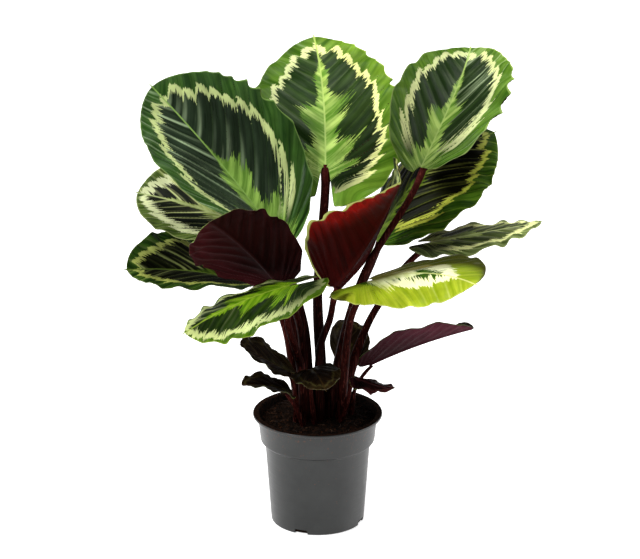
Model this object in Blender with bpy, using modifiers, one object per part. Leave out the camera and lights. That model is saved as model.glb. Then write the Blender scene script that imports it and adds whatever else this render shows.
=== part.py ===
"""A potted calathea: broad patterned leaves on slim stalks, rooted in a round nursery pot.

Run with: blender --background --python part.py

The origin is the middle of the pot's flat base, +Z is up and -Y is the front of the plant. The model is in
metres. Sizes below are in millimetres and angles in degrees, and MM turns a length into metres.

Every leaf is one blade and one stalk. A blade is a thin sheet laid along a bending midrib, and a stalk is a
tapering tube that runs from a planting hole in the soil up to the underside of its blade.
"""

import math
from typing import NamedTuple

import bmesh
import bpy
import numpy as np
from mathutils import Matrix, Vector

MM = 0.001
GAP = 0.3                     # clearance between neighbouring pieces
ROUND_STEPS = 48              # facets round the pot

# Pot
POT_HEIGHT = 107.0
POT_WALL = 1.4
LIP_RADIUS = 60.0
LIP_HEIGHT = 3.5
COLLAR_TOP_RADIUS = 55.6
COLLAR_FOOT_RADIUS = 53.0
COLLAR_HEIGHT = 23.0
SHOULDER_RADIUS = 48.8        # where the tapered body meets the collar
SHOULDER_DROP = 2.5
FOOT_RADIUS = 43.4
NOTCH_WIDTH = 12.5
NOTCH_HEIGHT = 5.0
NOTCH_COUNT = 4
NOTCH_TURN = -111.0           # direction of the first drain notch, left of the front

# Soil
SOIL_EDGE_BELOW_LIP = 8.0
SOIL_DOME = 2.5
PLANTING_DEPTH = 12.0

# Stalks
STALK_ROOT_RADIUS = 4.3
STALK_TOP_RADIUS = 2.7
YOUNG_STALK_ROOT_RADIUS = 2.4
YOUNG_STALK_TOP_RADIUS = 1.4

# Blades
BLADE_THICKNESS = 0.7
BLADE_ROWS = 14
YOUNG_BLADE_ROWS = 9
RIB_STATIONS = (0.0, 0.16, 0.45, 0.75, 1.0)   # columns from the midrib to the margin
FIRST_ROW = 0.012             # share of the blade's length where the sheet starts and ends
LAST_ROW = 0.998
NOTCH_EDGE = 0.16             # columns nearer the midrib than this stay out of the basal lobes
WAVES_PER_SIDE = 4.5          # ripples along each margin

# Colours, linear
GREEN = (0.055, 0.105, 0.035)
MAROON = (0.045, 0.012, 0.012)
PLASTIC = (0.022, 0.022, 0.023)
PEAT = (0.020, 0.012, 0.008)


class Leaf(NamedTuple):
    """One leaf, sizes in millimetres and angles in degrees."""

    name: str
    root: tuple          # x, y where the stalk leaves the soil
    bends: tuple         # points that the stalk passes on its way up
    base: tuple          # where the midrib of the blade starts
    length: float        # along the midrib
    width: float         # across both halves
    heading: float       # compass direction of the midrib at the base, from +X towards +Y
    pitch: float         # climb of the midrib at the base
    roll: float          # bank of the blade about the midrib, positive lifts the left half
    droop: float         # how far the midrib turns down by the tip
    sway: float          # how far it turns to its right
    twist: float         # how far the blade turns about it
    fold: float          # rise of both halves from the midrib
    curl: float          # further rise by the margin
    lobes: tuple         # reach of the left and right basal lobes, as a share of the length
    widest: float = 0.46
    tip: float = 0.62    # roundness of the tip, smaller is blunter
    wave: float = 2.5    # height of the margin's ripples
    phase: float = 0.0   # where along the margin the ripples start


LEAVES = (
    Leaf("upper_left", (-6, 8), ((-9, 4, 148), (-13, 2, 197)), (-35, 0, 277),
         180, 148, 152, 48, -8, 2, -8, -38, 19, 16, (0.11, 0.06), phase=0.33),
    Leaf("upper_middle", (4, 10), ((3, 11, 147), (0, 20, 214)), (7, 48, 328),
         150, 147, 88, 54, -5, 28, -13, 5, -4, -4, (0.18, 0.24), widest=0.30, phase=0.12),
    Leaf("upper_right", (10, 0), ((18, 2, 147), (41, 4, 237)), (93, 8, 341),
         146, 111, 44, 53, 6, 35, -28, 14, 6, 5, (0.05, 0.0), widest=0.50, tip=0.55, phase=-0.25),
    Leaf("right_rear", (14, 12), ((18, 14, 144), (29, 23, 192)), (53, 45, 258),
         158, 120, 21, 66, 0, 58, 5, 26, -11, -14, (0.09, 0.0), phase=0.25),
    Leaf("right_side", (23, 8), ((31, 7, 146), (54, 15, 203)), (103, 26, 265),
         104, 80, -5, 12, 6, 1, -4, -13, -4, -6, (0.12, 0.20), phase=0.0),
    Leaf("right_front", (21, -4), ((25, -13, 160), (33, -28, 218)), (48, -47, 254),
         117, 94, -23, 22, 5, 18, 32, 11, -11, 0, (0.05, 0.36), phase=-0.39),
    Leaf("left_upright", (-7, -1), ((-12, -7, 152), (-19, -15, 207)), (-35, -26, 242),
         122, 94, 210, 54, 37, 33, -4, 30, 1, -1, (0.03, 0.03), phase=0.45),
    Leaf("centre_upright", (2, -9), ((3, -7, 175), (11, -10, 201)), (15, -16, 234),
         166, 118, -34, 51, -34, 3, 28, 52, 21, 25, (0.11, 0.02), widest=0.49, phase=0.25),
    Leaf("left_front", (-11, -11), ((-15, -18, 155), (-27, -46, 213)), (-24, -72, 258),
         104, 84, 191, -11, -3, 20, -6, -8, -14, -5, (0.34, 0.26), phase=-0.10),
    Leaf("left_rear", (-11, 16), ((-16, 16, 144), (-24, 14, 196)), (-51, 25, 274),
         123, 92, 170, 23, -25, 21, -2, -19, 9, 9, (0.12, 0.12)),
    Leaf("left_side", (-16, 5), ((-23, 7, 148), (-35, 18, 197)), (-48, 34, 217),
         135, 100, 193, 24, 4, 22, -7, -32, 10, 10, (0.12, 0.12), phase=-0.35),
    Leaf("young_left", (-20, -12), ((-20, -22, 128),), (-24, -31, 158),
         66, 49, 215, 35, -24, 1, 3, -3, 6, 6, (0.12, 0.12), wave=0.9, phase=-0.16),
    Leaf("young_low_left", (-13, -21), ((-19, -28, 120),), (-26, -36, 140),
         50, 38, 209, 36, -17, 36, 0, 17, 7, 7, (0.12, 0.12), wave=0.9, phase=-0.18),
    Leaf("young_front", (-3, -18), ((-6, -25, 135),), (-7, -32, 162),
         58, 44, -81, 25, 13, 48, -2, -6, -1, -3, (0.12, 0.12), wave=0.9, phase=0.18),
    Leaf("young_right", (31, 7), ((35, 12, 125),), (47, 19, 146),
         106, 80, -4, 28, -24, 12, 2, 1, 13, 13, (0.08, 0.08), wave=1.2, phase=0.11),
    Leaf("young_low_right", (21, -12), ((28, -20, 128),), (35, -26, 151),
         44, 32, -41, -5, -8, -12, 3, 9, -7, -10, (0.12, 0.12), wave=0.9, phase=-0.08),
    Leaf("young_rear", (21, 19), ((25, 28, 125),), (29, 39, 139),
         50, 40, 88, 44, 4, 20, 0, 10, 12, 13, (0.12, 0.12), wave=0.9, phase=0.16),
)


def is_young(leaf: Leaf) -> bool:
    """Tell a young low leaf from a full-grown one."""
    return leaf.name.startswith("young")


# --- scene helpers -------------------------------------------------------------------------------------

def clear_scene() -> None:
    """Remove whatever objects the scene holds."""
    for thing in list(bpy.data.objects):
        bpy.data.objects.remove(thing, do_unlink=True)


def new_collection(name: str) -> bpy.types.Collection:
    """Make a collection under the scene."""
    collection = bpy.data.collections.new(name)
    bpy.context.scene.collection.children.link(collection)
    return collection


def plain_material(name: str, colour: tuple, roughness: float) -> bpy.types.Material:
    """Make a Principled material of one colour."""
    material = bpy.data.materials.new(name)
    material.use_nodes = True
    shader = material.node_tree.nodes["Principled BSDF"]
    shader.inputs["Base Color"].default_value = (*colour, 1.0)
    shader.inputs["Roughness"].default_value = roughness
    return material


def place(name: str, data, collection, colour: tuple, roughness: float) -> bpy.types.Object:
    """Put a mesh or curve in a collection as a named object with its own material."""
    thing = bpy.data.objects.new(name, data)
    data.materials.append(plain_material(name, colour, roughness))
    collection.objects.link(thing)
    return thing


def place_cutter(name: str, data, collection) -> bpy.types.Object:
    """Put a cutting tool aside, drawn as wire and hidden from renders."""
    cutter = bpy.data.objects.new(name, data)
    cutter.display_type = "WIRE"
    cutter.hide_render = True
    collection.objects.link(cutter)
    return cutter


def cut(target, cutter) -> None:
    """Subtract a cutter from an object."""
    boolean = target.modifiers.new("cut_" + cutter.name, "BOOLEAN")
    boolean.object = cutter
    boolean.operation = "DIFFERENCE"
    boolean.solver = "EXACT"


def shade_round(mesh) -> None:
    """Shade every face smooth."""
    for polygon in mesh.polygons:
        polygon.use_smooth = True


def turned(name: str, profile: tuple, collection, colour: tuple, roughness: float) -> bpy.types.Object:
    """Turn a profile of (radius, height) points, axis to axis, into a closed round solid."""
    mesh = bpy.data.meshes.new(name)
    bm = bmesh.new()
    points = [bm.verts.new((radius * MM, 0.0, height * MM)) for radius, height in profile]
    for here, there in zip(points, points[1:]):
        bm.edges.new((here, there))
    bm.to_mesh(mesh)
    bm.free()
    thing = place(name, mesh, collection, colour, roughness)
    screw = thing.modifiers.new("turn", "SCREW")
    screw.axis = "Z"
    screw.steps = ROUND_STEPS
    screw.render_steps = ROUND_STEPS
    screw.use_merge_vertices = True
    screw.merge_threshold = 0.00001
    screw.use_normal_calculate = True
    screw.use_smooth_shade = True
    return thing


# --- pot and soil --------------------------------------------------------------------------------------

def pot_walls() -> tuple:
    """Give the outer and inner wall of the pot, foot to lip, as (radius, height) points."""
    collar_foot = POT_HEIGHT - LIP_HEIGHT - COLLAR_HEIGHT
    shoulder = collar_foot - SHOULDER_DROP
    lip_foot = POT_HEIGHT - LIP_HEIGHT
    outer = ((FOOT_RADIUS, 0.0), (SHOULDER_RADIUS, shoulder), (COLLAR_FOOT_RADIUS, collar_foot),
             (COLLAR_TOP_RADIUS, lip_foot), (LIP_RADIUS, lip_foot + 0.8), (LIP_RADIUS, POT_HEIGHT - 0.6),
             (LIP_RADIUS - 0.6, POT_HEIGHT))
    inner = ((FOOT_RADIUS - POT_WALL, POT_WALL), (SHOULDER_RADIUS - POT_WALL, shoulder + POT_WALL / 2),
             (COLLAR_FOOT_RADIUS - POT_WALL, collar_foot + POT_WALL / 2),
             (COLLAR_TOP_RADIUS - POT_WALL, POT_HEIGHT - 0.8),
             (COLLAR_TOP_RADIUS - POT_WALL + 0.8, POT_HEIGHT))
    return outer, inner


def build_pot(collection, tools) -> bpy.types.Object:
    """Build the nursery pot with its drain notches."""
    outer, inner = pot_walls()
    profile = ((0.0, 0.0), *outer, *reversed(inner), (0.0, POT_WALL))
    pot = turned("pot", profile, collection, PLASTIC, 0.38)
    mesh = bpy.data.meshes.new("drain_notches")
    bm = bmesh.new()
    for index in range(NOTCH_COUNT):
        turn = math.radians(NOTCH_TURN + 360.0 * index / NOTCH_COUNT)
        reach = Matrix.Rotation(turn, 4, "Z") @ Matrix.Translation((FOOT_RADIUS * MM, 0.0, 0.0))
        size = Matrix.Diagonal((8 * MM, NOTCH_WIDTH * MM, 2 * NOTCH_HEIGHT * MM, 1.0))
        bmesh.ops.create_cube(bm, size=1.0, matrix=reach @ size)
    bm.to_mesh(mesh)
    bm.free()
    cut(pot, place_cutter("drain_notches", mesh, tools))
    return pot


def soil_top() -> float:
    """Give the height of the soil at its middle."""
    return POT_HEIGHT - SOIL_EDGE_BELOW_LIP + SOIL_DOME


def stalk_radii(leaf: Leaf) -> tuple:
    """Give a stalk's radius at the soil and below its blade."""
    if is_young(leaf):
        return YOUNG_STALK_ROOT_RADIUS, YOUNG_STALK_TOP_RADIUS
    return STALK_ROOT_RADIUS, STALK_TOP_RADIUS


def planted_end(leaf: Leaf) -> tuple:
    """Give the buried end of a stalk, the point where it comes out, and the way it grows."""
    surface = Vector((*leaf.root, soil_top()))
    growth = (Vector(leaf.bends[0]) - surface).normalized()
    return surface - growth * PLANTING_DEPTH, surface + growth * 4.0, growth


def build_soil(collection, tools) -> bpy.types.Object:
    """Build the plug of potting soil with a planting hole for each stalk."""
    foot, shoulder, collar_foot, collar_top = pot_walls()[1][:4]
    edge = POT_HEIGHT - SOIL_EDGE_BELOW_LIP
    edge_radius = collar_foot[0] + (collar_top[0] - collar_foot[0]) * 0.7
    profile = ((0.0, POT_WALL + GAP), (foot[0] - GAP, POT_WALL + GAP), (shoulder[0] - GAP, shoulder[1]),
               (collar_foot[0] - GAP, collar_foot[1] + GAP), (edge_radius - GAP, edge),
               (edge_radius * 0.7, edge + SOIL_DOME * 0.6), (edge_radius * 0.35, edge + SOIL_DOME * 0.95),
               (0.0, soil_top()))
    soil = turned("soil", profile, collection, PEAT, 0.95)
    mesh = bpy.data.meshes.new("planting_holes")
    bm = bmesh.new()
    for leaf in LEAVES:
        buried, clear, growth = planted_end(leaf)
        start = buried - growth * GAP
        radius = (stalk_radii(leaf)[0] + GAP) * MM
        length = (clear - start).length + 4.0
        middle = start + growth * length / 2
        stand = Vector((0.0, 0.0, 1.0)).rotation_difference(growth).to_matrix().to_4x4()
        bmesh.ops.create_cone(bm, cap_ends=True, segments=10, radius1=radius, radius2=radius,
                              depth=length * MM, matrix=Matrix.Translation(middle * MM) @ stand)
    bm.to_mesh(mesh)
    bm.free()
    cut(soil, place_cutter("planting_holes", mesh, tools))
    return soil


# --- leaves --------------------------------------------------------------------------------------------

def turned_pair(first: np.ndarray, second: np.ndarray, angle: float) -> tuple:
    """Turn two square directions in their own plane, the first towards the second."""
    swing, rest = np.sin(angle), np.cos(angle)
    return first * rest + second * swing, second * rest - first * swing


def midrib(leaf: Leaf, steps: int = 32) -> tuple:
    """Walk along the midrib, giving its points and its forward, upper and right directions."""
    heading, pitch, roll = np.radians((leaf.heading, leaf.pitch, leaf.roll))
    forward = np.array((np.cos(heading) * np.cos(pitch), np.sin(heading) * np.cos(pitch), np.sin(pitch)))
    level = np.array((-np.cos(heading) * np.sin(pitch), -np.sin(heading) * np.sin(pitch), np.cos(pitch)))
    upper = level * np.cos(roll) + np.cross(forward, level) * np.sin(roll)
    right = np.cross(forward, upper)
    down, aside, about = np.radians((leaf.droop, leaf.sway, leaf.twist)) / steps
    point = np.array(leaf.base, dtype=float)
    walk = [(point, forward, upper, right)]
    for _ in range(steps):
        before = forward
        forward, upper = turned_pair(forward, upper, -down)
        forward, right = turned_pair(forward, right, aside)
        upper, right = turned_pair(upper, right, about)
        point = point + (before + forward) / 2 * leaf.length / steps
        walk.append((point, forward, upper, right))
    return tuple(np.array(column) for column in zip(*walk))


def half_width(leaf: Leaf, along: np.ndarray) -> np.ndarray:
    """Give the width of one half of the blade at shares of its length."""
    before = np.clip(1.0 - along / leaf.widest, 0.0, 1.0)
    after = np.clip((along - leaf.widest) / (1.0 - leaf.widest), 0.0, 1.0)
    shape = np.where(along < leaf.widest, np.sqrt(1.0 - before ** 2), (1.0 - after ** 2.2) ** leaf.tip)
    return leaf.width / 2 * shape


def blade_surface(leaf: Leaf, along: np.ndarray, across: np.ndarray) -> np.ndarray:
    """Give points of the blade's middle surface, in millimetres.

    along runs from 0 at the base to 1 at the tip, and across from -1 at the left margin to 1 at the right.
    """
    reach = np.abs(across)
    side = np.sign(across)
    fold = math.radians(leaf.fold)
    curl = math.radians(leaf.curl) or 1e-4
    half = half_width(leaf, along)
    out = half * (np.sin(fold + curl * reach) - math.sin(fold)) / curl
    rise = -half * (np.cos(fold + curl * reach) - math.cos(fold)) / curl
    phase = leaf.phase + np.where(across < 0, 0.5, 0.0)
    ripple = np.sin(2 * np.pi * (WAVES_PER_SIDE * along + phase))
    fade = np.sqrt(np.sin(np.pi * (0.03 + 0.94 * along)))
    rise = rise + leaf.wave * reach ** 2.5 * ripple * fade
    lobe = np.clip((reach - NOTCH_EDGE) / 0.4, 0.0, 1.0)
    lobe = lobe * lobe * (3 - 2 * lobe) * (1 - along) ** 3
    back = lobe * leaf.length * np.where(across < 0, leaf.lobes[0], leaf.lobes[1])
    points, forward, upper, right = midrib(leaf)
    station = along * (len(points) - 1)
    index = np.minimum(station.astype(int), len(points) - 2)
    share = (station - index)[..., None]
    spot, ahead, up, aside = (line[index] * (1 - share) + line[index + 1] * share
                              for line in (points, forward, upper, right))
    return spot + aside * (out * side)[..., None] + up * rise[..., None] - ahead * back[..., None]


def build_blade(leaf: Leaf, collection) -> bpy.types.Object:
    """Build the blade of a leaf as a thin solid sheet."""
    rows = YOUNG_BLADE_ROWS if is_young(leaf) else BLADE_ROWS
    stations = sorted({-share for share in RIB_STATIONS} | set(RIB_STATIONS))
    columns = len(stations) - 1
    mesh = bpy.data.meshes.new("blade_" + leaf.name)
    bm = bmesh.new()
    bmesh.ops.create_grid(bm, x_segments=columns, y_segments=rows, size=1.0)
    spread = np.array([(vert.co.x, vert.co.y) for vert in bm.verts])
    across = np.interp(spread[:, 0], np.linspace(-1.0, 1.0, columns + 1), stations)
    eased = 0.5 + 0.5 * np.sin(spread[:, 1] * np.pi / 2)
    along = FIRST_ROW + (LAST_ROW - FIRST_ROW) * eased
    for vert, point in zip(bm.verts, blade_surface(leaf, along, across)):
        vert.co = point * MM
    bm.to_mesh(mesh)
    bm.free()
    shade_round(mesh)
    blade = place("blade_" + leaf.name, mesh, collection, GREEN, 0.45)
    solidify = blade.modifiers.new("thickness", "SOLIDIFY")
    solidify.thickness = BLADE_THICKNESS * MM
    solidify.offset = 0.0
    return blade


def stalk_top(leaf: Leaf) -> tuple:
    """Give the point under the midrib where a stalk ends, and the way it arrives."""
    points, forward, upper, _ = midrib(leaf)
    below = stalk_radii(leaf)[1] + BLADE_THICKNESS / 2 + GAP + 0.3
    return Vector(points[1] - upper[1] * below), Vector(forward[1] * 0.8 + upper[1] * 0.2).normalized()


def build_stalk(leaf: Leaf, collection) -> bpy.types.Object:
    """Build the stalk of a leaf as a tapering tube along a smooth path."""
    buried, clear, growth = planted_end(leaf)
    top, arrival = stalk_top(leaf)
    path = [buried, clear, *(Vector(bend) for bend in leaf.bends), top]
    curve = bpy.data.curves.new("stalk_" + leaf.name, "CURVE")
    curve.dimensions = "3D"
    curve.resolution_u = 3
    curve.bevel_resolution = 2
    curve.use_fill_caps = True
    root_radius, top_radius = stalk_radii(leaf)
    curve.bevel_depth = root_radius * MM
    spline = curve.splines.new("BEZIER")
    spline.bezier_points.add(len(path) - 1)
    for index, (knot, point) in enumerate(zip(spline.bezier_points, path)):
        height = (point.z - buried.z) / (top.z - buried.z)
        knot.co = point * MM
        knot.radius = 1.0 + (top_radius / root_radius - 1.0) * max(height, 0.0)
        before = (point - path[index - 1]).length / 3 if index else 4.0
        after = (path[index + 1] - point).length / 3 if index < len(path) - 1 else 4.0
        if index < 2:
            way = growth
        elif index == len(path) - 1:
            way = arrival
        else:
            onward, arriving = path[index + 1] - point, point - path[index - 1]
            way = (onward.normalized() + arriving.normalized()).normalized()
        knot.handle_left = (point - way * before) * MM
        knot.handle_right = (point + way * after) * MM
    return place("stalk_" + leaf.name, curve, collection, MAROON, 0.5)


def main() -> None:
    """Build the whole plant in its pot."""
    clear_scene()
    collection = new_collection("potted_calathea")
    tools = new_collection("tools")
    build_pot(collection, tools)
    build_soil(collection, tools)
    for leaf in LEAVES:
        build_stalk(leaf, collection)
        build_blade(leaf, collection)


main()
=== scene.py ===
"""A potted calathea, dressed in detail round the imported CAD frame.

The plant is a clump of broad, feather-patterned leaves on sheathed maroon stalks, rooted in peat in a round
moulded nursery pot. Lengths are in millimetres and angles in degrees unless a name says otherwise; MM turns a
length into Blender's metres. The origin is the middle of the pot's foot, +Z is up and -Y is the front.
"""

import logging
import math
from dataclasses import dataclass, field
from enum import Enum
from functools import partial
from typing import Any, Callable, NamedTuple

import bmesh
import bpy
import numpy as np
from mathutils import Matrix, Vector, noise


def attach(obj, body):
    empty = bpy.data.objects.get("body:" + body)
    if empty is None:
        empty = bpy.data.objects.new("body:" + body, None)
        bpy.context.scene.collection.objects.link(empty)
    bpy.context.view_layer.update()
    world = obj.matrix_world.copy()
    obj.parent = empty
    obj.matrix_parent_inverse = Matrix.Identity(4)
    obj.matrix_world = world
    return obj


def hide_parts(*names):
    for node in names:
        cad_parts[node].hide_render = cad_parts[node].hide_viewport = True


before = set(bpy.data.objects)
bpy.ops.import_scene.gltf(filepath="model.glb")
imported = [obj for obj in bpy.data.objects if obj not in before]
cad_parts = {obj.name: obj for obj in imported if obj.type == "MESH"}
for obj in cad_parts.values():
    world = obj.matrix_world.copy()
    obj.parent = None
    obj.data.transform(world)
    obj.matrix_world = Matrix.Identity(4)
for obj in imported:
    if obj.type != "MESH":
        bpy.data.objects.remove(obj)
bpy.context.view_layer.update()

LOG = logging.getLogger("potted_calathea")
MM = 0.001
FULL_TURN = 2 * math.pi
BODY = "root"

Socket = bpy.types.NodeSocket


# --- nodes ---------------------------------------------------------------------------------------------

class Kind(NamedTuple):
    """A kind of node: its type, the inputs that values fill in order, its usual output and its settings."""

    type: str
    inputs: tuple = (0, 1, 2, 3, 4)
    out: Any = 0
    settings: dict = {}


PLUS, MINUS, TIMES, TIMES_PLUS, HIGHER, LOWER, UNSIGNED, SINE, COSINE, FOLDED = (
    Kind("ShaderNodeMath", settings={"operation": operation})
    for operation in ("ADD", "SUBTRACT", "MULTIPLY", "MULTIPLY_ADD", "MAXIMUM", "MINIMUM", "ABSOLUTE", "SINE",
                      "COSINE", "PINGPONG"))
VECTOR_PLUS, VECTOR_MINUS, VECTOR_TIMES = (
    Kind("ShaderNodeVectorMath", settings={"operation": operation})
    for operation in ("ADD", "SUBTRACT", "MULTIPLY"))
VECTOR_SCALE = Kind("ShaderNodeVectorMath", (0, "Scale"), settings={"operation": "SCALE"})
VECTOR_LENGTH = Kind("ShaderNodeVectorMath", out="Value", settings={"operation": "LENGTH"})
SPLIT = Kind("ShaderNodeSeparateXYZ", out=None)
# A ramp takes a value, from low, from high, to low and to high. Noise lies mostly between 0.3 and 0.7, so the
# ramps that read a noise start and end near those.
RAMP = Kind("ShaderNodeMapRange")
SOFT_RAMP = RAMP._replace(settings={"interpolation_type": "SMOOTHSTEP"})
OPEN_RAMP = RAMP._replace(settings={"clamp": False})
MIX = Kind("ShaderNodeMix", (0, 6, 7), 2, {"data_type": "RGBA"})
NOISE = Kind("ShaderNodeTexNoise", ("Vector", "Scale", "Detail", "Roughness"))
THREE_NOISES = NOISE._replace(out="Color")
PLACE = Kind("ShaderNodeTexCoord", out="Object")
ATTRIBUTE = Kind("ShaderNodeAttribute", out="Vector")
BUMP = Kind("ShaderNodeBump", ("Strength", "Distance", "Height"))
RANDOM = Kind("FunctionNodeRandomValue", (0, 1, "Seed"), settings={"data_type": "FLOAT_VECTOR"})
NAMED = Kind("GeometryNodeInputNamedAttribute", ("Name",), settings={"data_type": "FLOAT"})


def linear(code: str) -> tuple[float, float, float, float]:
    """Turn an sRGB hex colour into linear RGBA.

    Args:
        code: the colour as "#rrggbb".

    Returns:
        Red, green, blue and alpha, linear.
    """
    shares = [int(code[start:start + 2], 16) / 255 for start in (1, 3, 5)]
    return (*(s / 12.92 if s <= 0.04045 else ((s + 0.055) / 1.055) ** 2.4 for s in shares), 1.0)


def fill(node: bpy.types.Node, inputs: dict) -> None:
    """Fill inputs of a node.

    Args:
        node: the node.
        inputs: for an input's index or name, a socket to link, a colour as "#rrggbb" or another value.
    """
    for key, value in inputs.items():
        if isinstance(value, Socket):
            node.id_data.links.new(value, node.inputs[key])
        else:
            colour = isinstance(value, str) and value.startswith("#")
            node.inputs[key].default_value = linear(value) if colour else value


def add_node(tree: bpy.types.NodeTree, kind: Kind | str, inputs: tuple | dict = (), **settings: Any) -> Any:
    """Add a node with its settings and links.

    Args:
        tree: the node tree to add to.
        kind: the node's kind, or only its type.
        inputs: what fills the inputs, in the kind's order or by index or name.
        **settings: properties of the node.

    Returns:
        The kind's output socket, or the node where it has none.
    """
    if isinstance(kind, str):
        kind = Kind(kind)
    node = tree.nodes.new(kind.type)
    for key, value in {**kind.settings, **settings}.items():
        setattr(node, key, value)
    fill(node, inputs if isinstance(inputs, dict) else dict(zip(kind.inputs, inputs)))
    return node if kind.out is None else node.outputs[kind.out]


@dataclass(frozen=True)
class Finish:
    """A finish, made into a material once and shared by every piece that has it."""

    name: str

    def paint(self, add: Callable, shader: bpy.types.Node) -> None:
        """Lay the finish's colours, gloss and relief.

        Args:
            add: adds a node to the material.
            shader: the material's shader.
        """
        raise NotImplementedError

    def material(self) -> bpy.types.Material:
        """Make the material, or give it back if it is made already.

        Returns:
            The material.
        """
        if self.name in bpy.data.materials:
            return bpy.data.materials[self.name]
        material = bpy.data.materials.new(self.name)
        material.use_nodes = True
        tree = material.node_tree
        self.paint(partial(add_node, tree), tree.nodes["Principled BSDF"])
        return material


@dataclass(frozen=True)
class MottledFinish(Finish):
    """A dull skin in two tones that run into each other in patches."""

    first: str
    second: str
    patches: float      # how many go into a metre
    low: float
    high: float
    roughness: float

    def paint(self, add: Callable, shader: bpy.types.Node) -> None:
        """Lay the two tones.

        Args:
            add: adds a node to the material.
            shader: the material's shader.
        """
        patch = add(NOISE, (add(PLACE), self.patches, 2.0))
        colour = add(MIX, (add(RAMP, (patch, self.low, self.high)), self.first, self.second))
        fill(shader, {"Base Color": colour, "Roughness": self.roughness})


class Growth:
    """A geometry tree with named inputs, which turns a path or a surface into what grows on it."""

    def __init__(self, name: str, sizes: dict[str, tuple]) -> None:
        """Start the tree.

        Args:
            name: what the tree makes.
            sizes: for each input's name, its socket type and its value.
        """
        self.tree = bpy.data.node_groups.new(name, "GeometryNodeTree")
        self.add = partial(add_node, self.tree)
        self.keys = {}
        sockets = self.tree.interface
        sockets.new_socket("Geometry", in_out="OUTPUT", socket_type="NodeSocketGeometry")
        sockets.new_socket("Geometry", in_out="INPUT", socket_type="NodeSocketGeometry")
        for label, (kind, value) in {**sizes, "Finish": ("NodeSocketMaterial", None)}.items():
            socket = sockets.new_socket(label, in_out="INPUT", socket_type=kind)
            socket.default_value = value
            self.keys[label] = socket.identifier
        self.entry = self.add(Kind("NodeGroupInput", out=None)).outputs

    def close(self, geometry: Socket) -> "Growth":
        """End the tree with plain geometry in its finish.

        Args:
            geometry: what the tree has made.

        Returns:
            The growth itself.
        """
        geometry = self.add("GeometryNodeRealizeInstances", (geometry,))
        geometry = self.add("GeometryNodeSetMaterial", {0: geometry, "Material": self.entry["Finish"]})
        self.add(Kind("NodeGroupOutput", out=None), (geometry,))
        return self

    def grow(self, piece: bpy.types.Object, finish: Finish) -> bpy.types.Object:
        """Run the tree on a piece and keep its result as a plain mesh.

        Args:
            piece: the piece that carries the path or surface.
            finish: what the result is finished in.

        Returns:
            The piece.
        """
        modifier = piece.modifiers.new("growth", "NODES")
        modifier.node_group = self.tree
        modifier[self.keys["Finish"]] = finish.material()
        flatten(piece)
        return piece


# --- pieces --------------------------------------------------------------------------------------------

def plain_mesh(bm: bmesh.types.BMesh, name: str) -> bpy.types.Mesh:
    """Turn an edit mesh into a mesh and free it.

    Args:
        bm: the edit mesh.
        name: the mesh's name.

    Returns:
        The mesh.
    """
    mesh = bpy.data.meshes.new(name)
    bm.to_mesh(mesh)
    bm.free()
    return mesh


def new_piece(name: str, mesh: bpy.types.Mesh) -> bpy.types.Object:
    """Put a mesh in the scene as a piece, at the origin.

    Args:
        name: the piece's name.
        mesh: its mesh.

    Returns:
        The piece.
    """
    piece = bpy.data.objects.new(name, mesh)
    bpy.context.scene.collection.objects.link(piece)
    return piece


def flatten(piece: bpy.types.Object) -> None:
    """Turn what a piece's modifiers make into its plain mesh, and take the modifiers off.

    Args:
        piece: the piece.
    """
    bpy.context.view_layer.update()
    graph = bpy.context.evaluated_depsgraph_get()
    mesh = bpy.data.meshes.new_from_object(piece.evaluated_get(graph), depsgraph=graph)
    piece.modifiers.clear()
    piece.data = mesh
    mesh.name = piece.name


def settle(piece: bpy.types.Object, slot: str, *nodes: str) -> None:
    """Fix a finished piece to the frame and report it.

    Args:
        piece: the finished piece, at the origin and without modifiers.
        slot: the record's material slot that it is finished in; not used.
        *nodes: the CAD nodes that it stands for.
    """
    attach(piece, BODY)
    if nodes:
        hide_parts(*nodes)
    LOG.info("%s: %d faces", piece.name, len(piece.data.polygons))


# --- leaf shapes ---------------------------------------------------------------------------------------

class Coat(Enum):
    """Which colouring a leaf has by its age, and copies with painted light, painted shade and a painted
    sheen.
    """

    GROWN = "grown"
    OPEN = "open"
    SUNLIT = "sunlit"
    LIVELY = "lively"
    SHADED = "shaded"
    STRIPED = "striped"
    PAINTED_SHEEN = "hazy"
    YOUNG = "young"
    FLUSHED = "flushed"


class Back(Enum):
    """Which colouring the underside of a leaf has."""

    DUSKY = "dusky"
    GLOWING = "glowing"
    RIMMED = "rimmed"
    PLUM = "plum"


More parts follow.
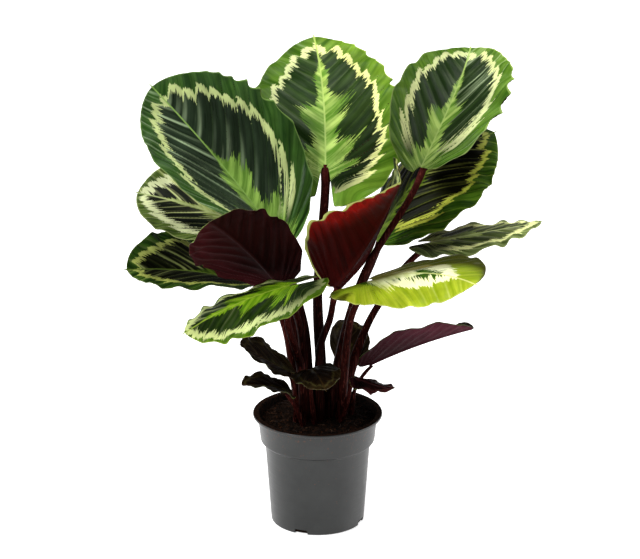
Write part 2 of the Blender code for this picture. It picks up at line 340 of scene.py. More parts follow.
class Leaf(NamedTuple):
    """One leaf, sizes in millimetres and angles in degrees. A pair is for its left and its right half."""

    name: str
    root: tuple                     # where the stalk leaves the soil
    bends: tuple                    # points that the stalk passes on its way up
    base: tuple                     # where the stalk meets the blade
    length: float
    width: float
    heading: float                  # which way the midrib sets out, round from +X
    pitch: float                    # how steeply it climbs
    roll: float                     # how far the blade is turned about it
    droop: float                    # how far the midrib bends down by the tip
    sway: float                     # how far it bends to the right
    twist: float                    # how far the blade twists about it
    fold: float                     # how steeply each half rises from the midrib
    curl: float                     # how much steeper it gets by the margin
    lobes: tuple                    # how far the basal lobes reach back, as shares of the length
    widest: float = 0.46            # where the blade is widest, as a share of the length
    tip: float = 0.62               # how pointed it is, where 0.5 is round
    wave: float = 2.5               # height of the waves along the margin
    phase: float = 0.0              # where they start, in turns
    coat: Coat = Coat.GROWN
    back: Back = Back.DUSKY
    ring: float = 0.27              # how far inside the margin the pale ring runs, against half the width
    plume: float = 0.70             # where the feather along the midrib ends, as a share of the veins
    lean: tuple = (1.0, 1.0)        # how much further than usual the side veins lean towards the tip
    scallop: tuple = (0.015, 0.015)     # depth of the hollows between vein ends, as a share of half the width
    notch: float = 0.15             # width of the notch at the stalk, as a share of half the width
    stout: float = 1.0              # how thick the stalk is below the blade, against the others
    painted_light: tuple = (0.0, 0.0, 0.0)    # painted light, and painted shade below 0: in the middle, and more to tip and right
    painted_highlight: tuple = (0.0, 0.0, 0.0)    # painted highlight streaks, likewise
    shade: tuple = (0.0, 0.0, 0.0)  # painted shade on the panels, likewise


LEAVES = (
    Leaf("upper_left", (-6, 8), ((-9, 4, 148), (-13, 2, 197)), (-35, 0, 277),
         180, 148, 152, 48, -8, 2, -8, -38, 19, 16, (0.11, 0.06), phase=0.33, plume=0.66,
         scallop=(0.010, 0.065), painted_highlight=(0.35, 0.0, -0.75), lean=(1.55, 1.0)),
    Leaf("upper_middle", (4, 10), ((3, 11, 147), (0, 20, 214)), (7, 48, 328),
         150, 147, 88, 54, -5, 28, -13, 5, -4, -4, (0.19, 0.26), widest=0.30, phase=0.12, coat=Coat.OPEN,
         plume=0.90, scallop=(0.010, 0.150), notch=0.16, stout=1.5, painted_light=(0.10, 0.2, 0.5),
         painted_highlight=(0.05, 0.1, -0.2), shade=(-0.2, -1.0, 1.1)),
    Leaf("upper_right", (10, 0), ((18, 2, 147), (41, 4, 237)), (93, 8, 341),
         146, 111, 44, 53, 6, 35, -28, 14, 6, 5, (0.05, 0.0), widest=0.50, tip=0.55, phase=-0.25,
         coat=Coat.OPEN, plume=0.84, scallop=(0.010, 0.100), painted_light=(-0.25, 0.3, 0.3), painted_highlight=(0.25, 0.1, 0.75),
         shade=(0.45, 0.0, 0.2), lean=(1.0, 1.3)),
    Leaf("right_rear", (14, 12), ((18, 14, 144), (29, 23, 192)), (53, 45, 258),
         158, 120, 21, 66, 0, 58, 5, 26, -11, -14, (0.09, 0.0), phase=0.25, coat=Coat.SHADED,
         scallop=(0.010, 0.018), painted_light=(0.4, -0.1, 0.9), painted_highlight=(0.45, -0.3, 0.2), shade=(0.3, 0.2, -0.5),
         lean=(1.3, 1.3)),
    Leaf("right_side", (23, 8), ((31, 7, 146), (54, 15, 203)), (103, 26, 265),
         104, 80, -5, 12, 6, 1, -4, -13, -4, -6, (0.12, 0.20), phase=0.0, painted_highlight=(0.6, 0.0, 0.0),
         painted_light=(0.40, 0.0, 0.0), scallop=(0.02, 0.02), coat=Coat.PAINTED_SHEEN),
    Leaf("right_front", (21, -4), ((25, -13, 160), (33, -28, 218)), (48, -47, 254),
         117, 94, -23, 22, 5, 18, 32, 11, -11, 0, (0.05, 0.36), wave=1.3, phase=-0.39, plume=0.52,
         coat=Coat.SUNLIT, back=Back.RIMMED, ring=0.66, scallop=(0.0, 0.004), painted_light=(0.1, 1.6, 2.6),
         painted_highlight=(0.0, 0.15, 0.2)),
    Leaf("left_upright", (-7, -1), ((-12, -7, 152), (-19, -15, 207)), (-35, -26, 242),
         122, 94, 210, 54, 37, 33, -4, 30, 1, -1, (0.03, 0.03), phase=0.45, scallop=(0.045, 0.060),
         painted_light=(0.2, 0.1, 0.7)),
    Leaf("centre_upright", (2, -9), ((3, -7, 175), (11, -10, 201)), (15, -16, 234),
         166, 118, -34, 51, -34, 3, 28, 52, 21, 25, (0.11, 0.02), widest=0.49, phase=0.25,
         back=Back.GLOWING, painted_light=(-0.28, 0.50, 0.90), scallop=(0.012, 0.025)),
    Leaf("left_front", (-11, -11), ((-15, -18, 155), (-27, -46, 213)), (-24, -72, 258),
         104, 84, 191, -11, -3, 20, -6, -8, -14, -5, (0.34, 0.26), phase=-0.10, coat=Coat.LIVELY,
         back=Back.RIMMED, ring=0.17, plume=0.92, painted_light=(-0.1, 0.25, -0.1), shade=(0.1, -0.5, 0.5),
         scallop=(0.02, 0.02), painted_highlight=(0.25, 0.0, 0.3)),
    Leaf("left_rear", (-11, 16), ((-16, 16, 144), (-24, 14, 196)), (-51, 25, 274),
         123, 92, 170, 23, -25, 21, -2, -19, 9, 9, (0.12, 0.12), coat=Coat.STRIPED, plume=0.9,
         painted_highlight=(1.0, 0.0, 0.0), scallop=(0.01, 0.01), shade=(0.7, 0.0, 0.0), lean=(1.8, 1.6)),
    Leaf("left_side", (-16, 5), ((-23, 7, 148), (-35, 18, 197)), (-48, 34, 217),
         135, 100, 193, 24, 4, 22, -7, -32, 10, 10, (0.12, 0.12), phase=-0.35, coat=Coat.SHADED,
         scallop=(0.025, 0.025), painted_highlight=(0.45, 0.0, -0.3), painted_light=(0.1, 0.0, -0.1), lean=(1.5, 1.2)),
    Leaf("young_left", (-20, -12), ((-20, -22, 128),), (-24, -31, 158),
         66, 49, 215, 35, -24, 1, 3, -3, 6, 6, (0.12, 0.12), wave=1.9, phase=-0.16, coat=Coat.YOUNG,
         painted_highlight=(0.7, 0.0, 0.3)),
    Leaf("young_low_left", (-13, -21), ((-19, -28, 120),), (-26, -36, 140),
         50, 38, 209, 36, -17, 36, 0, 17, 7, 7, (0.12, 0.12), wave=1.9, phase=-0.18, coat=Coat.YOUNG,
         painted_light=(-0.3, 0.0, 0.0)),
    Leaf("young_front", (-3, -18), ((-6, -25, 135),), (-7, -32, 162),
         58, 44, -81, 25, 13, 48, -2, -6, -1, -3, (0.12, 0.12), wave=1.9, phase=0.18, coat=Coat.YOUNG,
         painted_light=(-0.2, 0.0, 0.0)),
    Leaf("young_right", (31, 7), ((35, 12, 125),), (47, 19, 146),
         106, 80, -4, 28, -24, 12, 2, 1, 13, 13, (0.08, 0.08), wave=1.7, phase=0.11, coat=Coat.YOUNG,
         back=Back.PLUM, painted_light=(0.3, 0.4, 0.3)),
    Leaf("young_low_right", (21, -12), ((28, -20, 128),), (35, -26, 151),
         44, 32, -41, -5, -8, -12, 3, 9, -7, -10, (0.12, 0.12), wave=1.9, phase=-0.08, coat=Coat.FLUSHED,
         back=Back.PLUM),
    Leaf("young_rear", (21, 19), ((25, 28, 125),), (29, 39, 139),
         50, 40, 88, 44, 4, 20, 0, 10, 12, 13, (0.12, 0.12), wave=1.9, phase=0.16, coat=Coat.YOUNG,
         painted_highlight=(0.3, 0.0, 0.0)),
)


def is_young(leaf: Leaf) -> bool:
    """Tell a young low leaf from a full-grown one."""
    return leaf.name.startswith("young")


def turned_pair(first: np.ndarray, second: np.ndarray, angle: float) -> tuple[np.ndarray, np.ndarray]:
    """Turn two square directions in their own plane, the first towards the second."""
    swing, rest = math.sin(angle), math.cos(angle)
    return first * rest + second * swing, second * rest - first * swing


def midrib(leaf: Leaf, steps: int = 32) -> tuple[np.ndarray, ...]:
    """Walk along the midrib of a leaf.

    Args:
        leaf: the leaf.
        steps: how many equal steps to take.

    Returns:
        Its points and its forward, upper and right directions.
    """
    heading, pitch, roll = np.radians((leaf.heading, leaf.pitch, leaf.roll))
    forward = np.array((np.cos(heading) * np.cos(pitch), np.sin(heading) * np.cos(pitch), np.sin(pitch)))
    level = np.array((-np.cos(heading) * np.sin(pitch), -np.sin(heading) * np.sin(pitch), np.cos(pitch)))
    upper = level * np.cos(roll) + np.cross(forward, level) * np.sin(roll)
    right = np.cross(forward, upper)
    down, aside, about = np.radians((leaf.droop, leaf.sway, leaf.twist)) / steps
    point = np.array(leaf.base, dtype=float)
    walk = [(point, forward, upper, right)]
    for _ in range(steps):
        before = forward
        forward, upper = turned_pair(forward, upper, -down)
        forward, right = turned_pair(forward, right, aside)
        upper, right = turned_pair(upper, right, about)
        point = point + (before + forward) / 2 * leaf.length / steps
        walk.append((point, forward, upper, right))
    return tuple(np.array(column) for column in zip(*walk))


def smooth(low: float, high: float, value: np.ndarray) -> np.ndarray:
    """Rise smoothly from 0 at low to 1 at high."""
    share = np.clip((value - low) / (high - low), 0.0, 1.0)
    return share * share * (3 - 2 * share)


def scattered(vein: np.ndarray, across: np.ndarray, mix: tuple[float, float, float]) -> np.ndarray:
    """Give each side vein a share of its own between 0 and 1, the same one each time.

    Args:
        vein: the vein's number, whole.
        across: below 0 on the left side and above 0 on the right.
        mix: three fixed numbers that set which shares come out.

    Returns:
        The shares.
    """
    return np.modf(np.abs(np.sin(vein * mix[0] + np.sign(across) * mix[1])) * mix[2])[0]


RING_MIX = (12.9898, 4.1, 437.585)
PAINTED_HIGHLIGHT_MIX = (7.31, 2.3, 137.1)
STREAK_OFFSET = 0.11            # how far each painted highlight streak lies on the tip side of its vein, in spacings


@dataclass(frozen=True)
class Blade:
    """The blade of one leaf: a quilted sheet with a rounded edge, a drip tip and a rib underneath."""

    leaf: Leaf
    edge_thickness: float = 0.36
    sheet_thickness: float = 0.5
    rib_depth: float = 1.5
    rib_spread: float = 1.5
    groove_depth: float = 0.7
    groove_spread: float = 2.2
    drip_length: float = 5.0
    drip_width: float = 2.2
    vein_spacing: float = 20.0      # along the midrib, between main side veins
    vein_stagger: float = 0.37      # how far the left side's veins are out of step with the right's
    quilt_height: float = 1.9
    quilted_length: float = 140.0   # length of a blade that is quilted that high
    sweep: float = 0.56             # how far the side veins lean towards the tip by the margin
    lobe_veins: float = 4.2         # main side veins that fan out into each basal lobe
    fan_start: float = 6.0          # how close to the stalk they run together
    waves_per_side: float = 4.5
    frill: float = 9.3              # small ripples along each margin
    first_row: float = 0.008
    mesh_size: tuple = (128, 30)    # rows along the blade and columns across each half
    young_mesh_size: tuple = (64, 20)
    young_spacing: float = 0.75     # a young leaf against the others: the spacing of its veins,
    young_drip: float = 0.6         # its drip tip and the rib underneath
    young_waves: float = 0.62       # and its waves
    ring_bow: float = 0.030         # how the pale ring bows between two veins, as shares of half the width,
    ring_slant: float = 0.080       # how it slants
    ring_jump: float = 0.075        # and how it jumps from one gap to the next
    feather_least: float = 0.015    # reach of the feather along the midrib, as shares of half the width,
    feather_most: float = 0.66
    feather_tiers: float = 2.8      # and how many times it swells and narrows along the blade

    def if_young(self, share: float) -> float:
        """Give the share of a size that a young leaf has, or 1 for the others."""
        return share if is_young(self.leaf) else 1.0

    @property
    def size(self) -> float:
        """Half of the greatest width."""
        return self.leaf.width / 2

    @property
    def veins(self) -> float:
        """How many main side veins leave each side of the midrib."""
        return self.leaf.length / (self.vein_spacing * self.if_young(self.young_spacing))

    def half_width(self, along: np.ndarray) -> np.ndarray:
        """Give the width of one half of the blade, drip tip included.

        Args:
            along: 0 at the base to 1 at the tip, and on to the end of the drip tip.

        Returns:
            The width of each half.
        """
        leaf = self.leaf
        inside = np.clip(along, 0.0, 1.0)
        before = np.clip(1.0 - inside / leaf.widest, 0.0, 1.0)
        after = np.clip((inside - leaf.widest) / (1.0 - leaf.widest), 0.0, 1.0)
        shape = np.where(inside < leaf.widest, np.sqrt(1.0 - before ** 2), (1.0 - after ** 2.2) ** leaf.tip)
        reach = self.drip_reach
        drip = self.drip_width / 2 * np.clip((1.0 + reach - along) / (2 * reach), 0.03, 1.0) ** 0.8
        return np.sqrt((self.size * shape) ** 2 + drip ** 2)

    @property
    def drip_reach(self) -> float:
        """Length of the drip tip, as a share of the blade's length."""
        return self.drip_length * self.if_young(self.young_drip) / self.leaf.length

    def lobe(self, along: np.ndarray, across: np.ndarray) -> np.ndarray:
        """Give how far the basal lobes reach back.

        Args:
            along: 0 at the base to 1 at the tip.
            across: -1 at the left margin to 1 at the right.

        Returns:
            The lengths by which points lie further back.
        """
        lobe = smooth(0.8 * self.leaf.notch, self.leaf.notch + 0.40, np.abs(across))
        lobe = lobe * np.clip(1.0 - along, 0.0, 1.0) ** 3
        return lobe * self.leaf.length * np.where(across < 0, self.leaf.lobes[0], self.leaf.lobes[1])

    def flat(self, along: np.ndarray, across: np.ndarray) -> tuple[np.ndarray, np.ndarray]:
        """Give how far points of the blade, pressed flat, lie from the midrib and ahead of the stalk."""
        return np.abs(across) * self.half_width(along), along * self.leaf.length - self.lobe(along, across)

    def follow_veins(self, along: np.ndarray, across: np.ndarray) -> tuple[np.ndarray, np.ndarray]:
        """Follow the side veins, which lean towards the tip, and fan out from the stalk into the lobes.

        Args:
            along: 0 at the base to 1 at the tip.
            across: -1 at the left margin to 1 at the right.

        Returns:
            The vein's number, whole on a main vein, and the distance along it from the midrib.
        """
        aside, ahead = self.flat(along, across)
        lean = self.sweep * np.where(across < 0, self.leaf.lean[0], self.leaf.lean[1])
        lean = lean * self.leaf.length * (aside / self.size) ** 1.2
        start = ahead - lean
        fan = self.lobe_veins * start / (np.hypot(aside, ahead) + self.fan_start)
        number = np.where(start > 0, start / self.leaf.length * self.veins, fan)
        run = np.hypot(aside, ahead - np.maximum(start, 0.0))
        return number + np.where(across < 0, self.vein_stagger, 0.0), run

    def surface(self, along: np.ndarray, across: np.ndarray) -> np.ndarray:
        """Give points of the blade's middle surface.

        Args:
            along: 0 at the base to 1 at the tip, and on to the end of the drip tip.
            across: -1 at the left margin to 1 at the right.

        Returns:
            The points, in millimetres.
        """
        leaf = self.leaf
        reach, side = np.abs(across), np.sign(across)
        fold = math.radians(leaf.fold)
        curl = math.radians(leaf.curl) or 1e-4      # a flat half would divide by 0
        half = self.half_width(along)
        arch = np.abs(np.sin(np.pi * self.follow_veins(along, across)[0]))
        patchy = 0.5 + 0.5 * np.sin(FULL_TURN * (1.6 * along + 3.1 * leaf.phase + 0.21 * side))
        scallop = np.where(across < 0, leaf.scallop[0], leaf.scallop[1]) * (0.3 + 1.1 * patchy)
        half = half * (1.0 + scallop * reach ** 5 * (0.5 - arch) * smooth(0.02, 0.12, half / self.size))
        out = half * (np.sin(fold + curl * reach) - math.sin(fold)) / curl
        rise = -half * (np.cos(fold + curl * reach) - math.cos(fold)) / curl
        calm = smooth(0.0, 0.22, half / self.size)
        rise = self.ruffled(rise, along, across, calm, patchy)
        rise = self.quilted(rise, reach, half, calm, arch)
        back = self.lobe(along, across)
        points, forward, upper, right = midrib(leaf)
        station = along * (len(points) - 1)
        index = np.minimum(station.astype(int), len(points) - 2)
        share = (station - index)[..., None]
        spot, ahead, up, aside = (line[index] * (1 - share) + line[index + 1] * share
                                  for line in (points, forward, upper, right))
        return spot + aside * (out * side)[..., None] + up * rise[..., None] - ahead * back[..., None]

    def ruffled(self, rise: np.ndarray, along: np.ndarray, across: np.ndarray, calm: np.ndarray,
                patchy: np.ndarray) -> np.ndarray:
        """Add the waves and the small ripples along the margins.

        Args:
            rise: how far each point stands above the midrib's plane.
            along: 0 at the base to 1 at the tip.
            across: -1 at the left margin to 1 at the right.
            calm: 0 where the blade narrows to an end, and 1 away from it.
            patchy: how ragged the margin is there.

        Returns:
            The new rise.
        """
        leaf, reach = self.leaf, np.abs(across)
        phase = leaf.phase + np.where(across < 0, 0.5, 0.0)
        fade = np.sqrt(np.sin(np.pi * (0.03 + 0.94 * np.clip(along, 0.0, 1.0)))) * calm
        waves = self.waves_per_side * self.if_young(self.young_waves) * (along + 0.05 * np.sin(8.0 * along))
        rise = rise + leaf.wave * reach ** 2.5 * fade * np.sin(FULL_TURN * (waves + phase))
        ripples = self.frill * along + 2.7 * phase + 0.35 * np.sin(7.0 * along + leaf.phase)
        ripples = np.sin(FULL_TURN * ripples)
        return rise + 0.30 * leaf.wave * reach ** 6 * fade * ripples * (0.2 + 0.9 * patchy)

    def quilted(self, rise: np.ndarray, reach: np.ndarray, half: np.ndarray, calm: np.ndarray,
                arch: np.ndarray) -> np.ndarray:
        """Add the cushions between the side veins and the groove over the midrib.

        Args:
            rise: how far each point stands above the midrib's plane.
            reach: 0 at the midrib to 1 at the margin.
            half: width of each half of the blade.
            calm: 0 where the blade narrows to an end, and 1 away from it.
            arch: 0 on a side vein to 1 midway between two.

        Returns:
            The new rise.
        """
        quilt = smooth(0.03, 0.25, reach * half / self.size) * (1.0 - 0.75 * smooth(0.80, 1.0, reach)) * calm
        height = self.quilt_height * min(self.leaf.length / self.quilted_length, 1.1)
        rise = rise + height * quilt * (arch ** 0.8 - 0.5)
        return rise - self.groove_depth * calm * np.exp(-((reach * half / self.groove_spread) ** 2))

    def grid(self) -> tuple[np.ndarray, np.ndarray]:
        """Lay out the rows along the blade and the columns across it.

        Returns:
            along and across, each one value per row and column.
        """
        rows, columns = self.young_mesh_size if is_young(self.leaf) else self.mesh_size
        plain = np.linspace(0.0, 1.0, rows)
        eased = 0.45 * plain + 0.55 * (0.5 - 0.5 * np.cos(np.pi * plain))
        along = self.first_row + (1.0 - self.first_row) * eased
        drip = 1.0 + self.drip_reach * np.array((0.25, 0.5, 0.75, 1.0))
        along = np.concatenate((along, drip))
        half = np.concatenate(((0.0, 0.012, 0.028), np.linspace(0.055, 0.955, columns), (0.985, 1.0)))
        across = np.concatenate((-half[:0:-1], half))
        return np.meshgrid(along, across, indexing="ij")

    def thickness(self, along: np.ndarray, across: np.ndarray) -> tuple[np.ndarray, np.ndarray]:
        """Give how far the upper and lower faces stand from the middle surface.

        Args:
            along: 0 at the base to 1 at the tip.
            across: -1 at the left margin to 1 at the right.

        Returns:
            The distances above and below it.
        """
        reach = np.abs(across)
        half = self.half_width(along)
        thin = smooth(0.94, 1.0, reach)
        sheet = self.sheet_thickness * (1 - thin) + self.edge_thickness * thin
        sheet = np.minimum(sheet, 0.6 * half + 0.05)
        taper = np.clip(1.04 - along, 0.0, 1.0) ** 0.7 * smooth(0.0, 0.2, half / self.size)
        ridge = np.exp(-((reach * half / self.rib_spread) ** 2)) * taper
        return sheet / 2, sheet / 2 + self.rib_depth * ridge * self.if_young(self.young_drip)

    def from_margin(self, along: np.ndarray, across: np.ndarray) -> np.ndarray:
        """Measure how far each point of the flat blade lies from the margin of its own half.

        Args:
            along: 0 at the base to 1 at the tip.
            across: -1 at the left margin to 1 at the right.

        Returns:
            The distances.
        """
        margin = np.full_like(along, 1e3)
        edge_along = np.linspace(self.first_row, 1.0, 200)
        lobe_edge = np.linspace(0.6, 1.0, 12)
        for side in (-1.0, 1.0):
            for row, column in ((edge_along, np.full_like(edge_along, side)),
                                (np.full_like(lobe_edge, self.first_row), lobe_edge * side)):
                spots = np.stack(self.flat(row, column), axis=-1)
                gaps = np.stack(self.flat(along, across), axis=-1)[..., None, :] - spots
                near = np.sqrt((gaps ** 2).sum(axis=-1)).min(axis=-1)
                margin = np.where(np.sign(across) * side >= 0, np.minimum(margin, near), margin)
        return margin

    def bands(self, along: np.ndarray, across: np.ndarray) -> dict[str, np.ndarray]:
        """Work out where each point lies in the leaf's pattern.

        Args:
            along: 0 at the base to 1 at the tip.
            across: -1 at the left margin to 1 at the right.

        Returns:
            "grain" as vein number, millimetres along the vein and the leaf's own number, "bands" as
            millimetres inside the pale ring, reach of the feather and millimetres from the margin, "light" as
            millimetres from the midrib, share of painted light (painted shade below 0) and millimetres from
            the stalk, and "sheen" as shares of painted highlight streaks and of painted shade and the place
            along the blade.
        """
        leaf = self.leaf
        aside, ahead = self.flat(along, across)
        margin = self.from_margin(along, across)
        vein, run = self.follow_veins(along, across)
        arch = np.abs(np.sin(np.pi * vein))
        jump = scattered(np.floor(vein), across, RING_MIX) - 0.5
        ring_place = leaf.ring * self.size * (1.0 - 0.35 * smooth(0.72, 1.0, along))
        cell = vein - np.floor(vein)
        steps = self.ring_bow * (arch ** 0.6 - 0.62) + self.ring_slant * (cell - 0.5) + self.ring_jump * jump
        ring = margin - ring_place + self.size * steps
        share = np.clip(np.abs(vein) / self.veins, 0.0, 1.0)
        tiers = share * self.feather_tiers + 0.06 * np.sin(leaf.phase * 20)
        tiers = 0.5 + 0.5 * np.cos(FULL_TURN * tiers)
        fall = 1.0 - smooth(0.08, leaf.plume, share)
        reach = self.size * (self.feather_least + self.feather_most * fall * (0.34 + 0.66 * tiers))
        own = float(LEAVES.index(leaf))
        # Shares of painted light, painted highlights and painted shade, from the leaf's middle, tip and right
        # numbers.
        painted_light, painted_highlight, shade = (middle + tip * (2 * along - 1) + right * across
                           for middle, tip, right in (leaf.painted_light, leaf.painted_highlight, leaf.shade))
        bold = scattered(np.rint(vein + STREAK_OFFSET), across, PAINTED_HIGHLIGHT_MIX)
        painted_highlight = painted_highlight * (0.15 + 1.45 * smooth(0.15, 0.85, bold))
        return {
            "grain": np.stack((vein + 20.0 * (across < 0), run, np.full_like(run, own)), axis=-1),
            "bands": np.stack((ring, reach, margin), axis=-1),
            "light": np.stack((aside, np.clip(painted_light, -1.0, 1.0), np.hypot(aside, ahead)), axis=-1),
            "sheen": np.stack((np.clip(painted_highlight, 0.0, 1.0), np.clip(shade, 0.0, 1.0), along), axis=-1),
        }

    def points(self, along: np.ndarray, across: np.ndarray) -> np.ndarray:
        """Place the points of both faces of the blade.

        Args:
            along: 0 at the base to 1 at the tip.
            across: -1 at the left margin to 1 at the right.

        Returns:
            The points, those of the upper face first, in millimetres.
        """
        middle = self.surface(along, across)
        normal = np.cross(np.gradient(middle, axis=1), np.gradient(middle, axis=0))
        normal /= np.linalg.norm(normal, axis=-1, keepdims=True)
        above, below = self.thickness(along, across)
        upper = middle + normal * above[..., None]
        lower = middle - normal * below[..., None]
        return np.concatenate((upper.reshape(-1, 3), lower.reshape(-1, 3)))

    def faces(self, rows: int, columns: int) -> tuple[np.ndarray, np.ndarray]:
        """Join the points into an upper face, an underside and the edge between them.

        Args:
            rows: how many rows of points lie along the blade.
            columns: how many points lie in each row.

        Returns:
            The corners of each face, and which of the three it belongs to.
        """
        count = rows * columns
        number = np.arange(count).reshape(rows, columns)
        quads = np.stack((number[:-1, :-1], number[:-1, 1:], number[1:, 1:], number[1:, :-1]), axis=-1)
        quads = quads.reshape(-1, 4)
        loop = np.concatenate((number[0, :-1], number[:-1, -1], number[-1, :0:-1], number[:0:-1, 0]))
        onward = np.roll(loop, -1)
        edge = np.stack((onward, loop, loop + count, onward + count), axis=-1)
        sides = np.repeat((0, 1, 2), (len(quads), len(quads), len(edge)))
        return np.concatenate((quads, quads[:, ::-1] + count, edge)), sides

    def build(self) -> None:
        """Build the blade and dress its upper face, its underside and its edge."""
        along, across = self.grid()
        faces, sides = self.faces(*along.shape)
        mesh = bpy.data.meshes.new("leaf_" + self.leaf.name)
        mesh.from_pydata((self.points(along, across) * MM).tolist(), [], faces.tolist())
        for name, values in self.bands(along, across).items():
            layer = mesh.attributes.new(name, "FLOAT_VECTOR", "POINT")
            both_faces = np.tile(values.reshape(-1, 3), (2, 1))
            layer.data.foreach_set("vector", both_faces.astype(np.float32).ravel())
        for finish in (COATS[self.leaf.coat], BACKS[self.leaf.back], CUT_EDGE):
            mesh.materials.append(finish.material())
        mesh.polygons.foreach_set("material_index", sides.astype(np.int32))
        mesh.polygons.foreach_set("use_smooth", np.ones(len(sides), dtype=bool))
        mesh.update()
        settle(new_piece("leaf_" + self.leaf.name, mesh), "leaf_blade", "blade_" + self.leaf.name)


# --- leaf finishes -------------------------------------------------------------------------------------

class LeafPattern:
    """What the finishes of a leaf read from its blade, and the grain that they share."""

    def __init__(self, add: Callable) -> None:
        """Read where a point lies in the leaf's pattern.

        Args:
            add: adds a node to the material.
        """
        self.add = add
        self.grain, bands, light, sheen = (add(ATTRIBUTE, attribute_name=name)
                                           for name in ("grain", "bands", "light", "sheen"))
        self.vein, self.run, _ = add(SPLIT, (self.grain,)).outputs
        self.ring_depth, self.reach, self.margin_depth = add(SPLIT, (bands,)).outputs
        self.rib_gap, self.painted_light, self.stalk_gap = add(SPLIT, (light,)).outputs
        self.painted_highlight, self.shade, _ = add(SPLIT, (sheen,)).outputs

    def streaks(self, stretch: tuple, detail: float, roughness: float) -> list[Socket]:
        """Draw three streaky noises that run along the side veins.

        Args:
            stretch: how fast they change from vein to vein, along a millimetre of vein and from leaf to leaf.
            detail: how many finer noises are laid over the first.
            roughness: how strong those are.

        Returns:
            The three noises.
        """
        place = self.add(VECTOR_TIMES, (self.grain, stretch))
        return self.add(SPLIT, (self.add(THREE_NOISES, (place, 1.0, detail, roughness)),)).outputs

    def vein_lines(self, strength: float) -> Socket:
        """Draw a thin line along each main side vein, of the given strength."""
        return self.add(RAMP, (self.add(FOLDED, (self.vein, 0.5)), 0.0, 0.04, strength, 0.0))

    def relief(self, fine_veins: int, depth: float, streak: Socket, strength: float, height: float) -> Socket:
        """Raise the fine veins that run between the main ones.

        Args:
            fine_veins: how many lie between two main veins.
            depth: how high they stand, against the streaks.
            streak: a streaky noise that roughens them.
            strength: how much of the relief shows.
            height: its height, in metres.

        Returns:
            The bumpy normal.
        """
        fine = self.add(SINE, (self.add(TIMES, (self.vein, FULL_TURN * fine_veins)),))
        return self.add(BUMP, (strength, height, self.add(TIMES_PLUS, (fine, depth, streak))))


